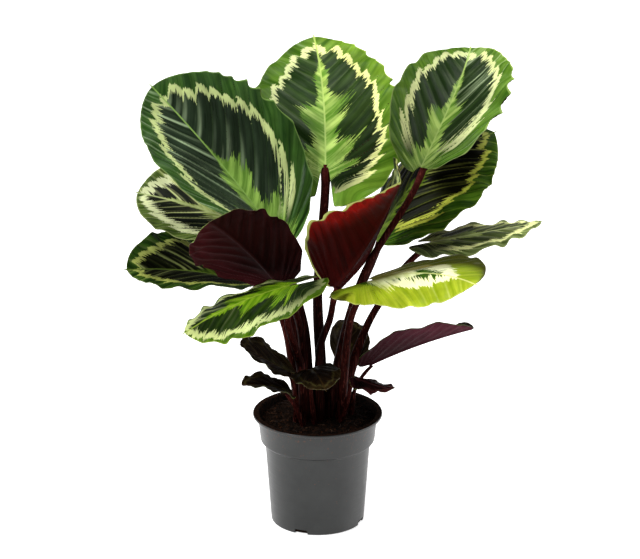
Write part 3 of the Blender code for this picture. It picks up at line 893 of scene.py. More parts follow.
@dataclass(frozen=True)
class UpperFinish(Finish):
    """Living leaf, upper side: waxy satin skin in dark panels, a pale ring and a jagged feather.

    Painted highlights lie in broad soft streaks along the quilted panels, where the waxy skin would shine,
    and painted light and painted shade brighten and darken parts of the leaf. The teeth of the ring and the
    feather run along the side veins and are about 2 mm wide.
    """

    panel: str
    panel_light: str
    feather: str
    feather_light: str
    ring: str
    margin: str
    margin_light: str
    rib: str
    painted_highlight: str = "#9fb58c"
    streak_width: float = 0.13      # of the painted highlight streak beside each vein, as a share of the veins' spacing
    vein_line: float = 0.16         # how clearly the main side veins show as pale lines
    ring_width: float = 5.0
    ring_start: tuple = (14.0, 44.0)    # how far from the stalk the ring sets in
    feather_gain: float = 1.0
    painted_light_gain: tuple = (1.3, 1.1, 0.2)     # extra red, green and blue where painted light brightens the leaf
    fade: tuple = (0.86, 0.88, 0.95)    # red, green and blue lost where painted shade darkens the leaf
    darkening: float = 0.62         # how much of the panels' colour the painted shade takes away where it is deepest
    fine_veins: int = 13            # between two main side veins
    roughness: float = 0.30
    specular: float = 0.12

    def paint(self, add: Callable, shader: bpy.types.Node) -> None:
        """Lay the panels, margin, painted highlight streaks, feather, ring and rib over each other, in that
        order.

        Args:
            add: adds a node to the material.
            shader: the material's shader.
        """
        at = LeafPattern(add)
        feather_tooth, inner_tooth, outer_tooth = at.streaks((10.0, 0.030, 7.0), 3.0, 0.62)
        panel_streak, margin_streak, feather_streak = at.streaks((2.8, 0.014, 3.0), 3.5, 0.56)
        inside, outside = self.ring_sides(at, inner_tooth, outer_tooth)
        colour = self.panels(at, panel_streak)
        colour = add(MIX, (add(MINUS, (1.0, outside)), colour, self.margins(at, margin_streak)))
        # Painted highlights along the side veins.
        colour = add(MIX, (self.painted_highlight_streaks(at, panel_streak, margin_streak, outside), colour, self.painted_highlight))
        plume = add(MIX, (add(RAMP, (feather_streak, 0.40, 0.62)), self.feather, self.feather_light))
        colour = add(MIX, (self.feather_share(at, feather_tooth), colour, plume))
        ring = add(TIMES, (add(TIMES, (inside, outside)), add(SOFT_RAMP, (at.stalk_gap, *self.ring_start))))
        colour = add(MIX, (ring, colour, self.ring))
        colour = add(MIX, (add(RAMP, (at.rib_gap, 0.4, 1.1, 0.85, 0.0)), colour, self.rib))
        # Painted light and painted shade, then mottling.
        colour = self.painted_light_and_shade(at, colour)
        rough = add(RAMP, (panel_streak, 0.3, 0.7, self.roughness - 0.06, self.roughness + 0.10))
        fill(shader, {"Base Color": colour, "Roughness": rough, "Specular IOR Level": self.specular,
                      "Normal": at.relief(self.fine_veins, 0.10, panel_streak, 0.4, 0.0008)})

    def panels(self, at: LeafPattern, streak: Socket) -> Socket:
        """Colour the dark panels between the side veins, and darken them with painted shade where the leaf
        says so.

        Args:
            at: the leaf's pattern.
            streak: the noise that lightens them.

        Returns:
            Their colour.
        """
        colour = at.add(MIX, (at.add(RAMP, (streak, 0.44, 0.74)), self.panel, self.panel_light))
        colour = at.add(MIX, (at.vein_lines(self.vein_line), colour, self.margin_light))
        # Painted shade: the panels darken where the leaf's shade share is high.
        return at.add(VECTOR_SCALE, (colour, at.add(TIMES_PLUS, (at.shade, -self.darkening, 1.0))))

    def ring_sides(self, at: LeafPattern, inner_tooth: Socket, outer_tooth: Socket) -> tuple[Socket, Socket]:
        """Find where the pale ring lies, with long teeth inwards and short ones outwards.

        Args:
            at: the leaf's pattern.
            inner_tooth: the noise that cuts its inner edge.
            outer_tooth: the noise that cuts its outer edge.

        Returns:
            1 on the margin's side of its inner edge, and 1 on the midrib's side of its outer one.
        """
        width = self.ring_width
        inner = at.add(OPEN_RAMP, (inner_tooth, 0.34, 0.68, 0.05 * width, 1.30 * width))
        outer = at.add(OPEN_RAMP, (outer_tooth, 0.34, 0.68, 0.20 * width, 0.65 * width))
        inside = at.add(SOFT_RAMP, (at.add(MINUS, (inner, at.ring_depth)), -0.4, 0.6))
        outside = at.add(SOFT_RAMP, (at.add(PLUS, (outer, at.ring_depth)), -0.4, 0.6))
        return inside, outside

    def margins(self, at: LeafPattern, streak: Socket) -> Socket:
        """Colour the margin, with a pale lip at its edge: partly its thin pale edge line, partly a painted
        rim highlight.

        Args:
            at: the leaf's pattern.
            streak: the noise that lightens it.

        Returns:
            Its colour.
        """
        colour = at.add(MIX, (at.add(RAMP, (streak, 0.36, 0.70)), self.margin, self.margin_light))
        # Pale lip: partly the thin pale edge line, partly a painted rim highlight.
        return at.add(MIX, (at.add(RAMP, (at.margin_depth, 0.2, 1.3, 0.8, 0.0)), colour, self.rib))

    def painted_highlight_streaks(self, at: LeafPattern, broken: Socket, stray: Socket, outside: Socket) -> Socket:
        """Find the painted highlight streaks that follow each side vein on its tip side, and stray ones
        between them.

        Args:
            at: the leaf's pattern.
            broken: the noise that breaks up the streaks beside the veins.
            stray: the noise that sets the others.
            outside: 1 within the ring, where the painted highlights are stronger.

        Returns:
            How much painted highlight shows.
        """
        flank = at.add(FOLDED, (at.add(PLUS, (at.vein, STREAK_OFFSET)), 0.5))
        flank = at.add(SOFT_RAMP, (flank, 0.015, self.streak_width, 1.0, 0.0))
        flank = at.add(TIMES, (flank, at.add(RAMP, (broken, 0.36, 0.56, 0.35, 1.1))))
        streak = at.add(PLUS, (flank, at.add(RAMP, (stray, 0.54, 0.68, 0.0, 0.40))))
        highlight_share = at.add(TIMES, (at.add(RAMP, (outside, 0.0, 1.0, 0.5, 1.0)), at.painted_highlight))
        return at.add(TIMES, (streak, highlight_share), use_clamp=True)

    def feather_share(self, at: LeafPattern, tooth: Socket) -> Socket:
        """Find the feather along the midrib.

        Args:
            at: the leaf's pattern.
            tooth: the noise that cuts its edge into teeth.

        Returns:
            1 on the feather and 0 beyond it.
        """
        jag = at.add(OPEN_RAMP, (tooth, 0.36, 0.62, 0.45 * self.feather_gain, 1.05 * self.feather_gain))
        depth = at.add(MINUS, (at.add(TIMES, (at.reach, jag)), at.run))
        return at.add(SOFT_RAMP, (depth, -0.6, 1.4))

    def painted_light_and_shade(self, at: LeafPattern, colour: Socket) -> Socket:
        """Add the painted light and painted shade that the leaf asks for, and mottle the colour all over.

        Args:
            at: the leaf's pattern.
            colour: the colour.

        Returns:
            The colour with its painted light and shade, mottled.
        """
        gain = at.add(VECTOR_SCALE, (self.painted_light_gain, at.add(HIGHER, (at.painted_light, 0.0))))
        gain = at.add(VECTOR_PLUS, (gain, (1.0, 1.0, 1.0)))
        loss = at.add(VECTOR_SCALE, (self.fade, at.add(LOWER, (at.painted_light, 0.0))))
        colour = at.add(VECTOR_TIMES, (colour, at.add(VECTOR_PLUS, (gain, loss))))
        mottle = at.add(NOISE, (at.add(PLACE), 45.0, 3.0))
        value = at.add(RAMP, (mottle, 0.3, 0.7, 0.78, 1.22))
        return at.add("ShaderNodeHueSaturation", {"Value": value, "Color": colour})


@dataclass(frozen=True)
class LowerFinish(Finish):
    """Living leaf, underside: matt wine-dark skin, glowing red where light comes through."""

    base: str
    deep: str
    glow: str
    rib: str
    rim: str
    rim_width: float = 0.0
    faint_glow: float = 0.09        # share of the glow where the painted light share is 0.1 or less
    fine_veins: int = 11            # between two main side veins
    roughness: float = 0.5
    specular: float = 0.03

    def paint(self, add: Callable, shader: bpy.types.Node) -> None:
        """Lay the skin, its glow, the ribs and, where the finish has one, the rim.

        Args:
            add: adds a node to the material.
            shader: the material's shader.
        """
        at = LeafPattern(add)
        skin_streak, ring_streak, wax_streak = at.streaks((4.5, 0.02, 3.0), 4.0, 0.6)
        colour = add(MIX, (add(RAMP, (skin_streak, 0.34, 0.68)), self.deep, self.base))
        colour = add(MIX, (self.glow_share(at, ring_streak, wax_streak), colour, self.glow))
        middle = add(RAMP, (at.rib_gap, 0.6, 1.6, 0.9, 0.0))
        colour = add(MIX, (add(HIGHER, (at.vein_lines(0.35), middle)), colour, self.rib))
        if self.rim_width:
            rim = add(RAMP, (at.margin_depth, 0.6 * self.rim_width, self.rim_width, 1.0, 0.0))
            colour = add(MIX, (rim, colour, self.rim))
        rough = add(RAMP, (wax_streak, 0.3, 0.7, self.roughness - 0.06, self.roughness + 0.12))
        fill(shader, {"Base Color": colour, "Roughness": rough, "Specular IOR Level": self.specular,
                      "Normal": at.relief(self.fine_veins, 0.2, wax_streak, 0.5, 0.0005)})

    def glow_share(self, at: LeafPattern, ring_streak: Socket, patch: Socket) -> Socket:
        """Find where painted light comes through: most along the ring and where the leaf's painted light is
        strongest.

        Args:
            at: the leaf's pattern.
            ring_streak: the noise that widens and narrows the ring.
            patch: the noise that lets some light through elsewhere.

        Returns:
            How much of the glow shows.
        """
        wide = at.add(RAMP, (ring_streak, 0.34, 0.68, 0.5, 7.0))
        band = at.add(MINUS, (wide, at.add(UNSIGNED, (at.ring_depth,))))
        band = at.add(SOFT_RAMP, (band, -2.0, 2.0, 0.25, 1.0))
        band = at.add(HIGHER, (band, at.add(RAMP, (patch, 0.36, 0.60, 0.45, 1.0))))
        return at.add(TIMES, (band, at.add(SOFT_RAMP, (at.painted_light, 0.1, 0.8, self.faint_glow, 1.0))))


COATS = {
    Coat.GROWN: UpperFinish("leaf_skin_grown", "#172314", "#2b3b27", "#557a2a", "#90b452", "#c2d08a",
                            "#1c3b0e", "#426628", "#86aa54", painted_highlight="#b4cc9e", streak_width=0.22,
                            ring_width=6.0),
    Coat.OPEN: UpperFinish("leaf_skin_open", "#1d3210", "#37511f", "#5a842a", "#aeca6a", "#d8e2a0",
                           "#345a10", "#6a9030", "#abc66c", painted_highlight="#bcd0a0", streak_width=0.19, ring_width=5.8,
                           painted_light_gain=(1.0, 0.75, 0.1), specular=0.07),
    # A copy of the leaf skin brightened with painted light, for a leaf in full light.
    Coat.SUNLIT: UpperFinish("leaf_skin_sunlit", "#234504", "#3a620e", "#c0cc80", "#dfe5b0", "#e9edbe",
                             "#7a9216", "#9fb030", "#c2cc7c", painted_highlight="#d3dc9a", ring_width=11.0,
                             feather_gain=1.4, painted_light_gain=(0.40, 0.32, 0.1)),
    Coat.LIVELY: UpperFinish("leaf_skin_lively", "#122404", "#284008", "#4c7a08", "#8cb226", "#c4d28a",
                             "#2a4a06", "#5a7e16", "#93ac3c", painted_highlight="#a9b67c", feather_gain=1.5,
                             ring_width=6.5, painted_light_gain=(0.9, 0.8, 0.2), specular=0.05),
    # A copy of the leaf skin darkened with painted shade, for leaves in shade.
    Coat.SHADED: UpperFinish("leaf_skin_shaded", "#080903", "#181d0d", "#2a3c0c", "#587022", "#a2ac5c",
                             "#142a0a", "#3a5a1c", "#5c7030", painted_highlight="#a0ac6c", ring_width=4.5,
                             feather_gain=0.8, painted_light_gain=(1.4, 1.3, 0.1), specular=0.05),
    Coat.STRIPED: UpperFinish("leaf_skin_striped", "#0a1005", "#1d280f", "#7c8c42", "#b2be7a", "#dae2ac",
                              "#34491a", "#6b8038", "#a8b578", painted_highlight="#ccd68c", streak_width=0.15,
                              ring_width=6.5, feather_gain=0.9, specular=0.06),
    # A grey-green copy with a painted sheen, for a leaf seen at a grazing angle.
    Coat.PAINTED_SHEEN: UpperFinish("leaf_skin_hazy", "#222c1a", "#56663e", "#6f8450", "#9db070", "#d2dcaa",
                           "#3c4c26", "#77895a", "#acbb8c", painted_highlight="#b0bc8e", ring_width=5.5, specular=0.07),
    Coat.YOUNG: UpperFinish("leaf_skin_young", "#180e05", "#30200f", "#26260e", "#403a1c", "#4a4224",
                            "#1c1508", "#3c2e16", "#443319", painted_highlight="#60523a", ring_width=2.0,
                            feather_gain=0.7, specular=0.03),
    Coat.FLUSHED: UpperFinish("leaf_skin_flushed", "#1a0808", "#341416", "#3a191b", "#502426", "#522c28",
                              "#280e0f", "#4c2224", "#52282a", painted_highlight="#6a3c3c", ring_width=2.0,
                              feather_gain=0.7, specular=0.03),
}
BACKS = {
    Back.DUSKY: LowerFinish("leaf_back_dusky", "#250808", "#0f0302", "#431519", "#2c0d0d", "#7a8a3c"),
    Back.GLOWING: LowerFinish("leaf_back_glowing", "#2a0806", "#150402", "#96130f", "#3c100c", "#c8cf74",
                              rim_width=3.2),
    Back.RIMMED: LowerFinish("leaf_back_rimmed", "#280f10", "#170607", "#4a161c", "#34161a", "#b4b050",
                             rim_width=1.2),
    Back.PLUM: LowerFinish("leaf_back_plum", "#301014", "#1a080b", "#5c2a36", "#3c181d", "#3d4a22",
                           rim_width=1.0),
}
# Living leaf, cut edge: a hair-thin yellow-green line with reddish stretches.
CUT_EDGE = MottledFinish("leaf_cut_edge", "#6c7c2c", "#43200f", 60.0, 0.42, 0.62, 0.5)


# --- stalks --------------------------------------------------------------------------------------------

POT_HEIGHT = 107.0
SOIL_TOP = 101.5
PLANTING_DEPTH = 12.0


@dataclass(frozen=True)
class StalkFinish(Finish):
    """Living leaf stalk: wine-brown skin, waxy, streaked along its length and greener towards the blade.

    The stalks deep inside the clump get little light and are darker.
    """

    name: str = "leaf_stalk_skin"
    skin: str = "#3a130f"
    dark: str = "#110302"
    fresh: str = "#481818"
    streak: str = "#7a4038"

    def paint(self, add: Callable, shader: bpy.types.Node) -> None:
        """Lay the skin, its streaks, the fresh stretch by the blade and the painted shade in the clump's
        middle.

        Args:
            add: adds a node to the material.
            shader: the material's shader.
        """
        place = add(PLACE)
        drawn = add(VECTOR_TIMES, (place, (900.0, 900.0, 28.0)))
        skin, streak, rough = add(SPLIT, (add(THREE_NOISES, (drawn, 1.0, 3.0, 0.6)),)).outputs
        colour = add(MIX, (add(RAMP, (skin, 0.35, 0.66)), self.dark, self.skin))
        colour = add(MIX, (add(RAMP, (streak, 0.56, 0.70, 0.0, 0.7)), colour, self.streak))
        climb = add(ATTRIBUTE._replace(out="Fac"), attribute_name="climb")
        colour = add(MIX, (add(RAMP, (climb, 0.55, 1.0, 0.0, 0.35)), colour, self.fresh))
        # Painted shade: darker towards the middle of the clump.
        outward = add(VECTOR_LENGTH, (add(VECTOR_TIMES, (place, (1.0, 1.0, 0.0))),))
        colour = add(VECTOR_SCALE, (colour, add(RAMP, (outward, 0.008, 0.030, 0.35, 1.25))))
        fill(shader, {"Base Color": colour, "Roughness": add(RAMP, (rough, 0.3, 0.7, 0.42, 0.55)),
                      "Normal": add(BUMP, (0.4, 0.0004, skin)), "Specular IOR Level": 0.08, "IOR": 1.2})


@dataclass
class Stalks:
    """The leaf stalks: sheathed at the foot, ribbed, and swollen into a joint below the blade."""

    root_radius: float = 4.3
    top_radius: float = 2.7
    young_root_radius: float = 2.4
    young_top_radius: float = 1.4
    joint_length: float = 16.0
    joint_swelling: float = 0.16
    sheath: float = 0.8             # extra radius of the sheath that wraps the lower part
    sheath_height: float = 0.62
    path_step: float = 2.2
    sides: int = 20
    ribs: int = 7
    rib_height: float = 0.16
    growth: Growth = field(init=False)

    def __post_init__(self) -> None:
        """Build the tree that turns a path with a girth into a ribbed, capped stalk."""
        self.growth = Growth("ribbed_stalk", {
            "Sides": ("NodeSocketInt", self.sides),
            "Ribs": ("NodeSocketInt", self.ribs),
            "Rib Height": ("NodeSocketFloat", self.rib_height * MM),
        })
        add, entry = self.growth.add, self.growth.entry
        ring = add("GeometryNodeCurvePrimitiveCircle", {"Resolution": entry["Sides"], "Radius": 1.0})
        turn = add(Kind("GeometryNodeSplineParameter", out="Factor"))
        ring = add("GeometryNodeStoreNamedAttribute", {0: ring, "Name": "turn", "Value": turn},
                   data_type="FLOAT", domain="POINT")
        curve = add("GeometryNodeMeshToCurve", (entry["Geometry"],))
        tube = add("GeometryNodeCurveToMesh", {0: curve, 1: ring, "Scale": add(NAMED, ("girth",)),
                                               "Fill Caps": True})
        wave = add(TIMES, (add(TIMES, (add(NAMED, ("turn",)), entry["Ribs"])), FULL_TURN))
        wave = add(TIMES, (add(COSINE, (wave,)), entry["Rib Height"]))
        offset = add(VECTOR_SCALE, (add("GeometryNodeInputNormal"), wave))
        tube = add("GeometryNodeSetPosition", {0: tube, "Offset": offset})
        self.growth.close(add("GeometryNodeSetShadeSmooth", {0: tube, "Shade Smooth": True}))

    def radii(self, leaf: Leaf) -> tuple[float, float]:
        """Give a stalk's radius at the soil and below its blade."""
        young = self.young_root_radius, self.young_top_radius
        return young if is_young(leaf) else (self.root_radius, self.top_radius)

    def path(self, leaf: Leaf) -> np.ndarray:
        """Lay a smooth path from the buried end of a stalk to its blade.

        Args:
            leaf: the leaf that the stalk carries.

        Returns:
            Points about path_step apart.
        """
        surface = Vector((*leaf.root, SOIL_TOP))
        growth = (Vector(leaf.bends[0]) - surface).normalized()
        points, forward, upper, _ = midrib(leaf)
        below = self.radii(leaf)[1] + 0.95
        top = Vector(points[1] - upper[1] * below)
        arrival = Vector(forward[1] * 0.8 + upper[1] * 0.2).normalized()
        knots = [surface - growth * (PLANTING_DEPTH - 1.0), surface + growth * 4.0,
                 *(Vector(bend) for bend in leaf.bends), top]
        ways = [growth, growth]
        for before, here, after in zip(knots[1:], knots[2:], knots[3:]):
            ways.append(((after - here).normalized() + (here - before).normalized()).normalized())
        ways.append(arrival)
        walk = []
        for index, (start, end) in enumerate(zip(knots, knots[1:])):
            arm = (end - start).length / 3
            bend = (start, start + ways[index] * arm, end - ways[index + 1] * arm, end)
            steps = max(3, round((end - start).length / self.path_step))
            for step in range(steps + (index == len(knots) - 2)):
                t = step / steps
                shares = ((1 - t) ** 3, 3 * t * (1 - t) ** 2, 3 * t * t * (1 - t), t ** 3)
                walk.append(sum((knot * share for knot, share in zip(bend, shares)), Vector()))
        return np.array(walk)

    def girths(self, leaf: Leaf, walk: np.ndarray) -> tuple[np.ndarray, np.ndarray]:
        """Work out how thick a stalk is along its path.

        Args:
            leaf: the leaf that the stalk carries.
            walk: the points of its path.

        Returns:
            The radius and the share of the climb at each point.
        """
        steps = np.linalg.norm(np.diff(walk, axis=0), axis=1)
        run = np.concatenate(((0.0,), np.cumsum(steps)))
        height = np.clip((walk[:, 2] - walk[0, 2]) / (walk[-1, 2] - walk[0, 2]), 0.0, 1.0)
        root, top = self.radii(leaf)
        wrapped = 1.0 - smooth(self.sheath_height - 0.3, self.sheath_height, height)
        girth = root + (top * leaf.stout - root) * height + self.sheath * root / self.root_radius * wrapped
        from_joint = (run[-1] - run - 0.55 * self.joint_length) / (0.42 * self.joint_length)
        return girth * (1.0 + self.joint_swelling * np.exp(-from_joint ** 2)), run / run[-1]

    def build(self, leaf: Leaf) -> None:
        """Build the stalk of a leaf and dress it.

        Args:
            leaf: the leaf that the stalk carries.
        """
        walk = self.path(leaf)
        girth, climb = self.girths(leaf, walk)
        mesh = bpy.data.meshes.new("stalk_path")
        mesh.from_pydata((walk * MM).tolist(), [(i, i + 1) for i in range(len(walk) - 1)], [])
        for name, values in (("girth", girth * MM), ("climb", climb)):
            layer = mesh.attributes.new(name, "FLOAT", "POINT")
            layer.data.foreach_set("value", values.astype(np.float32))
        piece = self.growth.grow(new_piece("petiole_" + leaf.name, mesh), StalkFinish())
        settle(piece, "leaf_stalk", "stalk_" + leaf.name)


# --- pot and soil --------------------------------------------------------------------------------------

@dataclass(frozen=True)
class PotFinish(Finish):
    """Polypropylene, injection moulded, charcoal: even satin skin with faint flow marks and handling scuffs.

    Specks of peat cling to it, more of them towards the lip.
    """

    name: str = "moulded_polypropylene"
    base: str = "#1a1c1b"
    worn: str = "#272928"
    dust: str = "#4a2a18"
    smooth: float = 0.30
    specular: float = 0.5
    dusting: float = 0.0

    def paint(self, add: Callable, shader: bpy.types.Node) -> None:
        """Lay the flow marks, the specks and the scuffs.

        Args:
            add: adds a node to the material.
            shader: the material's shader.
        """
        place = add(PLACE)
        flow = add(NOISE, (place, 38.0, 5.0, 0.6))
        colour = add(MIX, (add(RAMP, (flow, 0.35, 0.68)), self.base, self.worn))
        level = add(SPLIT, (place,)).outputs[2]
        below_lip = add(RAMP, (level, 0.070, 0.104, self.dusting, 0.11 + self.dusting))
        specks = add(PLUS, (add(NOISE, (place, 420.0, 2.0)), below_lip))
        colour = add(MIX, (add(RAMP, (specks, 0.70, 0.76, 0.0, 0.8)), colour, self.dust))
        scuffs = add(NOISE, (add(VECTOR_TIMES, (place, (60.0, 60.0, 900.0))), 1.0, 4.0, 0.7))
        rough = add(RAMP, (scuffs, 0.3, 0.7, self.smooth, self.smooth + 0.12))
        grain = add(NOISE, (place, 900.0, 2.0))
        fill(shader, {"Base Color": colour, "Roughness": rough, "Specular IOR Level": self.specular,
                      "Normal": add(BUMP, (0.15, 0.0003, grain))})


@dataclass
class Pot:
    """The nursery pot: a turned thin shell with a lip, a collar, a tapered body and drain notches."""

    height: float = POT_HEIGHT
    wall: float = 1.4
    lip_radius: float = 60.0
    lip_height: float = 3.5
    lip_band: float = 2.4
    collar_top: float = 55.6
    collar_foot: float = 53.0
    collar_height: float = 23.0
    shoulder: float = 48.8
    shoulder_drop: float = 2.5
    foot: float = 43.4
    notch_width: float = 12.5
    notch_height: float = 5.0
    notch_corner: float = 1.4
    notch_reach: tuple = (-8.0, 5.0)        # the tools' ends, from the foot's edge
    notch_count: int = 4
    notch_turn: float = -111.0
    steps: int = 192
    sharp_angle: float = 38.0       # edges sharper than this stay crisp

    def profile(self) -> list[tuple[float, float, float]]:
        """Give the section from the middle of the foot, out, up, over the lip and down to the floor inside.

        Returns:
            Radius, height and corner rounding of each corner.
        """
        lip = self.height - self.lip_height
        collar = lip - self.collar_height
        shoulder = collar - self.shoulder_drop
        inset = self.wall
        return [
            (0.0, 0.0, 0.0), (self.foot - 4.0, 0.0, 0.3), (self.foot - 3.4, 0.5, 0.3),
            (self.foot - 0.2, 0.5, 1.6), (self.shoulder, shoulder, 1.2), (self.collar_foot, collar, 1.5),
            (self.collar_top, lip + 1.0, 0.8), (self.lip_radius, self.height - self.lip_band, 0.8),
            (self.lip_radius, self.height, 1.0), (self.collar_top - inset + 0.3, self.height, 0.9),
            (self.collar_top - inset, self.height - 2.0, 0.6),
            (self.collar_foot - inset, collar + inset / 2, 1.0),
            (self.shoulder - inset, shoulder + inset / 2, 1.0), (self.foot - inset, inset, 1.0),
            (0.0, inset, 0.0),
        ]

    def rounded(self) -> list[tuple[float, float]]:
        """Round the corners of the section with short curves.

        Returns:
            Radius and height of each point.
        """
        corners = self.profile()
        line = [corners[0][:2]]
        for before, here, after in zip(corners, corners[1:], corners[2:]):
            spot = np.array(here[:2])
            back, ahead = np.array(before[:2]) - spot, np.array(after[:2]) - spot
            room = min(here[2], 0.45 * np.linalg.norm(back), 0.45 * np.linalg.norm(ahead))
            start = spot + back / np.linalg.norm(back) * room
            end = spot + ahead / np.linalg.norm(ahead) * room
            for share in np.linspace(0.0, 1.0, 5):
                rest = 1 - share
                line.append(tuple(rest ** 2 * start + 2 * share * rest * spot + share ** 2 * end))
        line.append(corners[-1][:2])
        return line

    def build(self) -> None:
        """Turn the pot, paint shade on the faces that look up or inwards, cut its drain notches and dress it.
        """
        bm = bmesh.new()
        verts = [bm.verts.new((radius * MM, 0.0, height * MM)) for radius, height in self.rounded()]
        edges = [bm.edges.new(pair) for pair in zip(verts, verts[1:])]
        bmesh.ops.spin(bm, geom=verts + edges, cent=(0, 0, 0), axis=(0, 0, 1), angle=FULL_TURN,
                       steps=self.steps, use_merge=True)
        bmesh.ops.remove_doubles(bm, verts=bm.verts, dist=1e-6)
        bmesh.ops.recalc_face_normals(bm, faces=bm.faces)
        for face in bm.faces:               # painted shade: a near-black finish with peat specks goes where a face looks up or inwards
            face.smooth = True
            middle = face.calc_center_median()
            out = Vector((middle.x, middle.y, 0.0)).normalized()
            face.material_index = int(face.normal.z > -0.3 and face.normal.dot(out) < 0.5)
        mesh = plain_mesh(bm, "nursery_pot")
        painted_shade_finish = PotFinish("peat_specked_painted_shade_polypropylene", "#050201", "#0f0805", "#2c190e", 0.6, 0.03, 0.14)
        for finish in (PotFinish(), painted_shade_finish):
            mesh.materials.append(finish.material())
        piece = new_piece("nursery_pot", mesh)
        self.cut_notches(piece)
        settle(piece, "pot_plastic", "pot")

    def notch_outline(self) -> list[tuple[float, float]]:
        """Draw the arch of a drain notch.

        Returns:
            Distance to the side and height of each point.
        """
        half, top, corner = self.notch_width / 2, self.notch_height, self.notch_corner
        arch = [(half - corner * (1 - math.cos(a)), top - corner * (1 - math.sin(a)))
                for a in np.radians((0, 30, 60, 90))]
        return [(-half, -2.0), (half, -2.0), *arch, *((-x, z) for x, z in reversed(arch))]

    def cut_notches(self, piece: bpy.types.Object) -> None:
        """Cut the drain notches with arched tools, and take the tools away.

        Args:
            piece: the pot.
        """
        outline = self.notch_outline()
        bm = bmesh.new()
        for index in range(self.notch_count):
            turn = math.radians(self.notch_turn + 360.0 * index / self.notch_count)
            out = Vector((math.cos(turn), math.sin(turn), 0.0))
            side = Vector((-out.y, out.x, 0.0))
            near, far = ([bm.verts.new((out * reach + side * x + Vector((0, 0, z))) * MM) for x, z in outline]
                         for reach in (self.foot + end for end in self.notch_reach))
            bm.faces.new(near)
            bm.faces.new(far[::-1])
            for here, there in zip(range(len(near)), [*range(1, len(near)), 0]):
                bm.faces.new((near[there], near[here], far[here], far[there]))
        bmesh.ops.recalc_face_normals(bm, faces=bm.faces)
        tools = new_piece("notch_tools", plain_mesh(bm, "notch_tools"))
        boolean = piece.modifiers.new("notches", "BOOLEAN")
        boolean.object = tools
        boolean.operation = "DIFFERENCE"
        boolean.solver = "EXACT"
        flatten(piece)
        bpy.data.objects.remove(tools)
        bpy.ops.object.select_all(action="DESELECT")
        bpy.context.view_layer.objects.active = piece
        piece.select_set(True)
        bpy.ops.object.shade_smooth_by_angle(angle=math.radians(self.sharp_angle))


@dataclass(frozen=True)
class PeatFinish(Finish):
    """Potting peat: crumbly, moist, dull and nearly black, with rusty bits."""

    name: str = "potting_peat"
    wet: str = "#070301"
    crumb: str = "#23140a"
    rust: str = "#4a2a16"

    def paint(self, add: Callable, shader: bpy.types.Node) -> None:
        """Lay the wet peat, its crumbs and the rusty bits.

        Args:
            add: adds a node to the material.
            shader: the material's shader.
        """
        clods = add(THREE_NOISES, (add(PLACE), 260.0, 5.0, 0.65))
        clod, bit, rough = add(SPLIT, (clods,)).outputs
        colour = add(MIX, (add(RAMP, (clod, 0.38, 0.66)), self.wet, self.crumb))
        colour = add(MIX, (add(RAMP, (bit, 0.56, 0.68)), colour, self.rust))
        fill(shader, {"Base Color": colour, "Roughness": add(RAMP, (rough, 0.3, 0.7, 0.72, 0.95)),
                      "Normal": add(BUMP, (0.8, 0.0012, clod)), "Specular IOR Level": 0.08})


# Coir and root fibres: dry, matt, tan to rust brown.
COIR = MottledFinish("coir_fibre", "#241009", "#6a4526", 140.0, 0.38, 0.64, 0.8)


